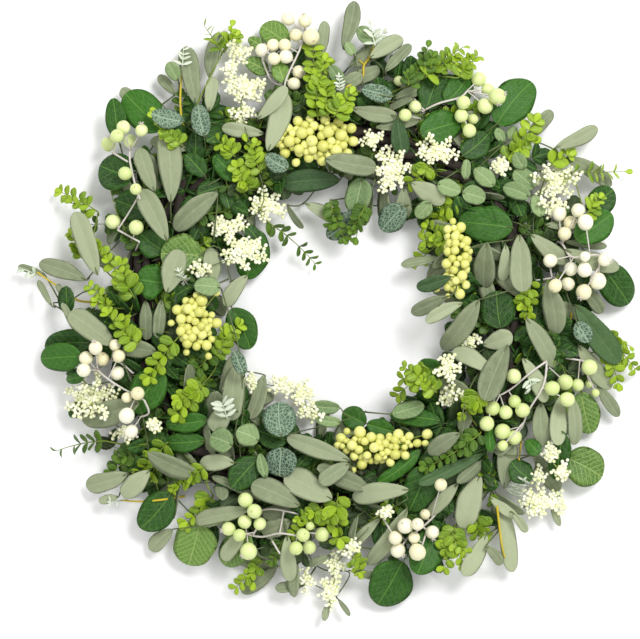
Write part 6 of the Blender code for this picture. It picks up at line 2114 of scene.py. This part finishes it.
def finish_balls(piece, node, look, rng):
    """Single berries of a spray with their stalks."""
    for ball in node["balls"]:
        add_ball(piece, ball["centre"], ball["radius"] * SPRAY_BERRY, ball["stalk"], look,
                 rng.random(), *BERRY_GRID)
        path = smooth_route([ball["stalk"], ball["stalk"].lerp(ball["centre"], 0.6)
                             + UP * 0.6, ball["centre"]], 4)
        add_twig(piece, path, BERRY_RADII, "pale_stem", rng, 6)


def bunch_places(node, rng):
    """Centre and radius of each berry of a bunch: the CAD's, and more between them."""
    middle, half_x, half_y, half_z = node["core"]
    placed = [(ball["centre"], ball["radius"] * BUNCH_BALL) for ball in node["small_balls"]]
    lobes = rng.uniform(0.0, math.tau)
    for _ in range(BUNCH_TRIES):
        height = rng.uniform(*BUNCH_HEIGHTS)
        spread = math.sqrt(1.0 - height * height)
        turn = rng.uniform(0.0, math.tau)
        outside = BUNCH_OUTSIDE + BUNCH_LOBES * math.cos(3.0 * turn + lobes)
        stretch = rng.uniform(BUNCH_INSIDE, outside)
        spot = middle + Vector((half_x * spread * math.cos(turn),
                                half_y * spread * math.sin(turn), half_z * height)) * stretch
        radius = rng.uniform(*(BUNCH_BERRY if stretch < BUNCH_EDGE else EDGE_BERRY))
        if is_within(spot, node["small_balls"], BUNCH_REACH) and all(
                (spot - other).length > BUNCH_CLOSENESS * (radius + size)
                for other, size in placed):
            placed.append((spot, radius))
    return placed


def finish_bunch(piece, node, rng):
    """Dense bunch of separate berries, each on a short stalk from the middle."""
    middle = node["core"][0]
    for centre, radius in bunch_places(node, rng):
        add_ball(piece, centre, radius, middle, "yellow_berry", rng.random(), *BUNCH_GRID)
        path = smooth_route([middle, centre], 2)
        add_twig(piece, path, BUNCH_RADII, "lime_stem", rng, 5)


def finish_florets(piece, node, rng):
    """Heads of tiny buds in tufts, each bud on a thin stalk from the tuft's own stem."""
    for hub, tuft, buds in node["fine_buds"]:
        knee = hub.lerp(tuft, 0.5) + UP * rng.uniform(*TUFT_KNEE_RISE)
        path = smooth_route([hub, knee, tuft], 3)
        add_twig(piece, path, TUFT_RADII, "floret_stem", rng, 5)
        for centre, radius in buds:
            add_ball(piece, centre, radius, tuft, "bud", rng.random(), *BUD_GRID, BUD_LENGTH)
            stalk = np.array([tuple(tuft), tuple(centre)])
            add_twig(piece, stalk, BUD_RADII, "floret_stem", rng, 3)


def finish_ring():
    """Many vines wound round each other."""
    rng = random.Random(SEED)
    piece = Piece()
    round_ring = np.linspace(0.0, math.tau, FINE_RING_STEPS + 1)
    for vine in range(FINE_VINES):
        reaches, radii = INNER_VINE if vine < INNER_VINES else OUTER_VINE
        reach = rng.uniform(*reaches)
        winds = rng.choice(VINE_WINDS) * (1 if vine % 4 else -1)
        start = math.tau * vine / FINE_VINES
        radius = rng.uniform(*radii)
        wobble = rng.uniform(0.0, math.tau)
        sway = TURN_SWAY * np.sin(TURN_WAVES * round_ring + wobble)
        turn = start + winds * round_ring + sway
        knots = reach + REACH_SWAY * np.sin(REACH_WAVES * round_ring + wobble)
        out = RING_RADIUS + knots * np.cos(turn)
        path = np.stack([out * np.cos(round_ring), out * np.sin(round_ring),
                         RING_CENTRE_HEIGHT + knots * VINE_FLATTENING * np.sin(turn)], -1)
        path[:, 2] = np.maximum(path[:, 2], radius + ABOVE_FLOOR)
        swelling = 1.0 + SWELLING * np.sin(SWELL_WAVES * round_ring + wobble)
        add_tube(piece, path, radius * swelling, "bark", rng.random(), VINE_SIDES)
    return piece.build("vine_ring")


def on_top(points_px, radius):
    """Path through points of the picture that lies on the leaves there."""
    path = []
    for x_px, y_px in points_px:
        spot = plan(x_px, y_px)
        hit = OBSTACLES.ray_cast(spot + UP * HIGH_ABOVE, -UP)[0]
        spot.z = (hit.z if hit else BARE_HEIGHT) + radius + ABOVE_LEAVES
        path.append(spot)
    for index in range(1, len(path) - 1):
        level = (path[index - 1].z + path[index + 1].z) / 2.0
        path[index].z = max(path[index].z, level - TWIG_SAG)
    return smooth_route(path, 6)


def add_details(piece, name, rng):
    """Coloured twigs and frosted sprigs that lie on the leaves of a node."""
    for look, radius, points_px in TWIGS.get(name, ()):
        path = on_top(points_px, radius)
        add_twig(piece, path, DETAIL_SHARES, look, rng, STEM_SIDES, radius)
    for x0, y0, x1, y1, reach in FROSTED.get(name, ()):
        middle = ((x0 + x1) / 2.0 + rng.uniform(-1.0, 1.0), (y0 + y1) / 2.0)
        path = on_top(((x0, y0), middle, (x1, y1)), FROSTED_TWIG_RADIUS)
        add_spray(piece, path, reach, "frost", "frost", rng, FROST_HABIT)


def add_crown(piece, ball, toward, rng):
    """Dry crown at the end of a berry."""
    centre, radius = np.array(ball["centre"]), ball["radius"] * 1.04
    axis = unit(np.array((toward.x, toward.y, 4.0)))
    across = unit(np.cross(axis, (0.1, 0.2, 1.0)))
    above = np.cross(axis, across)
    for point in range(CROWN_POINTS):
        turn = math.tau * point / CROWN_POINTS + rng.uniform(*CROWN_SWERVE)
        out = across * math.cos(turn) + above * math.sin(turn)
        foot = centre + axis * (radius * 0.92)
        end = foot + axis * rng.uniform(*CROWN_LENGTH) + out * rng.uniform(*CROWN_SPREAD)
        path = smooth_route([foot, foot + axis * 1.6 + out * 0.6, end], 3)
        add_twig(piece, path, CROWN_RADII, "pale_stem", rng, 5)


def add_crowns(piece, node, rng):
    """Crowns of the berries of a node that have one."""
    for x_px, y_px in CROWNS:
        spot = plan(x_px, y_px)
        for ball in node["balls"]:
            toward = spot - Vector((ball["centre"].x, ball["centre"].y, 0.0))
            if toward.length < ball["radius"] + CROWN_WITHIN:
                add_crown(piece, ball, toward.normalized() * 6.0, rng)
                break


def undergrowth_path(turn, rng):
    """Way of a spray that starts on the vines, or nothing where the way isn't free."""
    outward = rng.random() < UNDERGROWTH_OUTWARD
    feet, tips = OUTWARD_SPRAY if outward else INWARD_SPRAY
    sweep = rng.uniform(*SPRAY_SWEEP) * rng.choice((-1.0, 1.0))
    foot_reach = RING_RADIUS + rng.uniform(*feet)
    tip_reach = rng.uniform(*tips)
    low = rng.uniform(*SPRAY_FOOT_HEIGHT)
    high = rng.uniform(*SPRAY_TIP_HEIGHT)
    points = [(foot_reach * math.cos(turn), foot_reach * math.sin(turn),
               low - SPRAY_START_DEPTH)]
    for share in SPRAY_SHARES:
        reach = foot_reach + (tip_reach - foot_reach) * share
        angle = turn + sweep * share ** 1.3
        hump = SPRAY_HUMP * math.sin(math.pi * share)
        height = low * (1.0 - share) + high * share + hump
        points.append((reach * math.cos(angle), reach * math.sin(angle), height))
    if not all(is_free(start, end) for start, end in zip(points, points[1:])):
        return None
    path = smooth_route(points, 5)
    if any(FOLIAGE.ray_cast(Vector(spot), -UP)[0] for spot in path):
        return None
    return path


def add_undergrowth(piece, name, rng):
    """Sprays that start on the vines and fill the wreath behind the rest."""
    start, end, count = UNDERGROWTH[name]
    for index in range(count):
        for _ in range(UNDERGROWTH_TRIES):
            turn = math.radians(start + (end - start) * (index + rng.random()) / count)
            path = undergrowth_path(turn, rng)
            if path is not None:
                break
        else:
            continue
        look, stem_look, least, most, habit = rng.choice(UNDERGROWTH_KINDS)
        add_spray(piece, path, rng.uniform(least, most), look, stem_look, rng, habit, True)


def is_near(point, places):
    """Whether a point lies straight over or under one of the places, or close to that."""
    return any(math.hypot(point.x - place.x, point.y - place.y) < NEARBY for place in places)


def with_routes(node, routes):
    """The node with some of its stems alone."""
    return {**node, "routes": routes}


def finish_heads(piece, node, rng):
    """Floret heads with the stalks that end at them and the stems behind."""
    finish_florets(piece, node, rng)
    hubs = [hub[0] for hub in node["hubs"]]
    stalks = [route for route in node["routes"] if route[-1] in hubs]
    trunks = [route for route in node["routes"] if route[-1] not in hubs]
    finish_routes(piece, with_routes(node, stalks), "floret_stem", rng, FLORET_STEM)
    finish_routes(piece, with_routes(node, trunks), "leaf_stem", rng, LEAF_STEM, STEM_SINK)


def finish_berries(piece, node, look, rng):
    """Spray of single berries with its branches, and the stems behind them."""
    finish_balls(piece, node, look, rng)
    add_crowns(piece, node, rng)
    branches = BERRY_SPRAYS[node["name"]][0]
    starts = [plan(*branch[0]) for branch in branches]
    ends = [plan(*branch[-1]) for branch in branches]
    stalks = [ball["stalk"] for ball in node["balls"]]
    seen = [route for route in node["routes"] if is_near(route[-1], stalks)
            or (is_near(route[0], starts) and is_near(route[-1], ends))]
    below = [route for route in node["routes"] if route not in seen]
    finish_routes(piece, with_routes(node, seen), "pale_stem", rng, SEEN_STEM)
    finish_routes(piece, with_routes(node, below), "pale_stem", rng, HIDDEN_STEM, STEM_SINK)


def finish_node(node):
    """Fine piece of a foliage node."""
    name = node["name"]
    rng = random.Random(f"{SEED} fine {name}")
    piece = Piece()
    kind = next(kind for kind in SLOTS if name.startswith(kind))
    if kind in LEAF_KINDS:
        leaf_kind, stem_look, thinner = LEAF_KINDS[kind]
        finish_blades(piece, node, leaf_kind, rng)
        finish_routes(piece, node, stem_look, rng, thinner, STEM_SINK)
        if name in UNDERGROWTH:
            add_undergrowth(piece, name, rng)
    elif kind == "yellow_berries":
        finish_bunch(piece, node, rng)
        finish_routes(piece, node, "floret_stem", rng, BUNCH_STEM)
    elif kind == "florets":
        finish_heads(piece, node, rng)
    else:
        finish_berries(piece, node, "white_berry" if kind == "white_berries" else "green_berry",
                       rng)
    add_details(piece, name, rng)
    return piece.build(name)


def make_floor():
    """Plain pale floor under the wreath."""
    mesh = bpy.data.meshes.new("floor")
    corners = [(x * FLOOR_HALF_M, y * FLOOR_HALF_M, FLOOR_HEIGHT_M)
               for x, y in ((-1, -1), (1, -1), (1, 1), (-1, 1))]
    mesh.from_pydata(corners, [], [(0, 1, 2, 3)])
    floor = bpy.data.objects.new("floor", mesh)
    bpy.context.scene.collection.objects.link(floor)
    paint = bpy.data.materials.new("floor")
    paint.use_nodes = True
    shader = paint.node_tree.nodes["Principled BSDF"]
    shader.inputs["Base Color"].default_value = FLOOR_SHADE
    shader.inputs["Roughness"].default_value = 0.9
    mesh.materials.append(paint)


def make_lights():
    """Soft studio light, strongest from the upper right of the picture."""
    for name, place, size, power in LIGHTS:
        light = bpy.data.lights.new(name, "AREA")
        light.shape = "DISK"
        light.size = size
        light.energy = power
        lamp = bpy.data.objects.new(name, light)
        lamp.location = place
        lamp.rotation_euler = (-Vector(place)).to_track_quat("-Z", "Y").to_euler()
        bpy.context.scene.collection.objects.link(lamp)
    world = bpy.data.worlds.new("studio")
    world.use_nodes = True
    backdrop = world.node_tree.nodes["Background"]
    backdrop.inputs["Color"].default_value = (1.0, 1.0, 1.0, 1.0)
    backdrop.inputs["Strength"].default_value = BACKDROP_STRENGTH
    bpy.context.scene.world = world


def make_camera():
    """Camera that looks straight down on the wreath from far away."""
    camera = bpy.data.cameras.new("camera")
    camera.sensor_width = CAMERA_SENSOR_MM
    camera.lens = CAMERA_LENS_MM
    camera.clip_end = CAMERA_FAR_M
    stand = bpy.data.objects.new("camera", camera)
    middle = plan(*PICTURE_MIDDLE_PX) * MM_TO_M
    stand.location = (middle.x, middle.y, CAMERA_HEIGHT_M)
    bpy.context.scene.collection.objects.link(stand)
    bpy.context.scene.camera = stand


bpy.context.scene.view_settings.view_transform = "Standard"
SURFACES = make_surfaces()
make_camera()
make_lights()
make_floor()
finish_ring()
LAID_OUT = lay_out()
OBSTACLES = find_obstacles(LAID_OUT)
FOLIAGE = find_obstacles(LAID_OUT, True)
for laid in LAID_OUT:
    finish_node(laid)
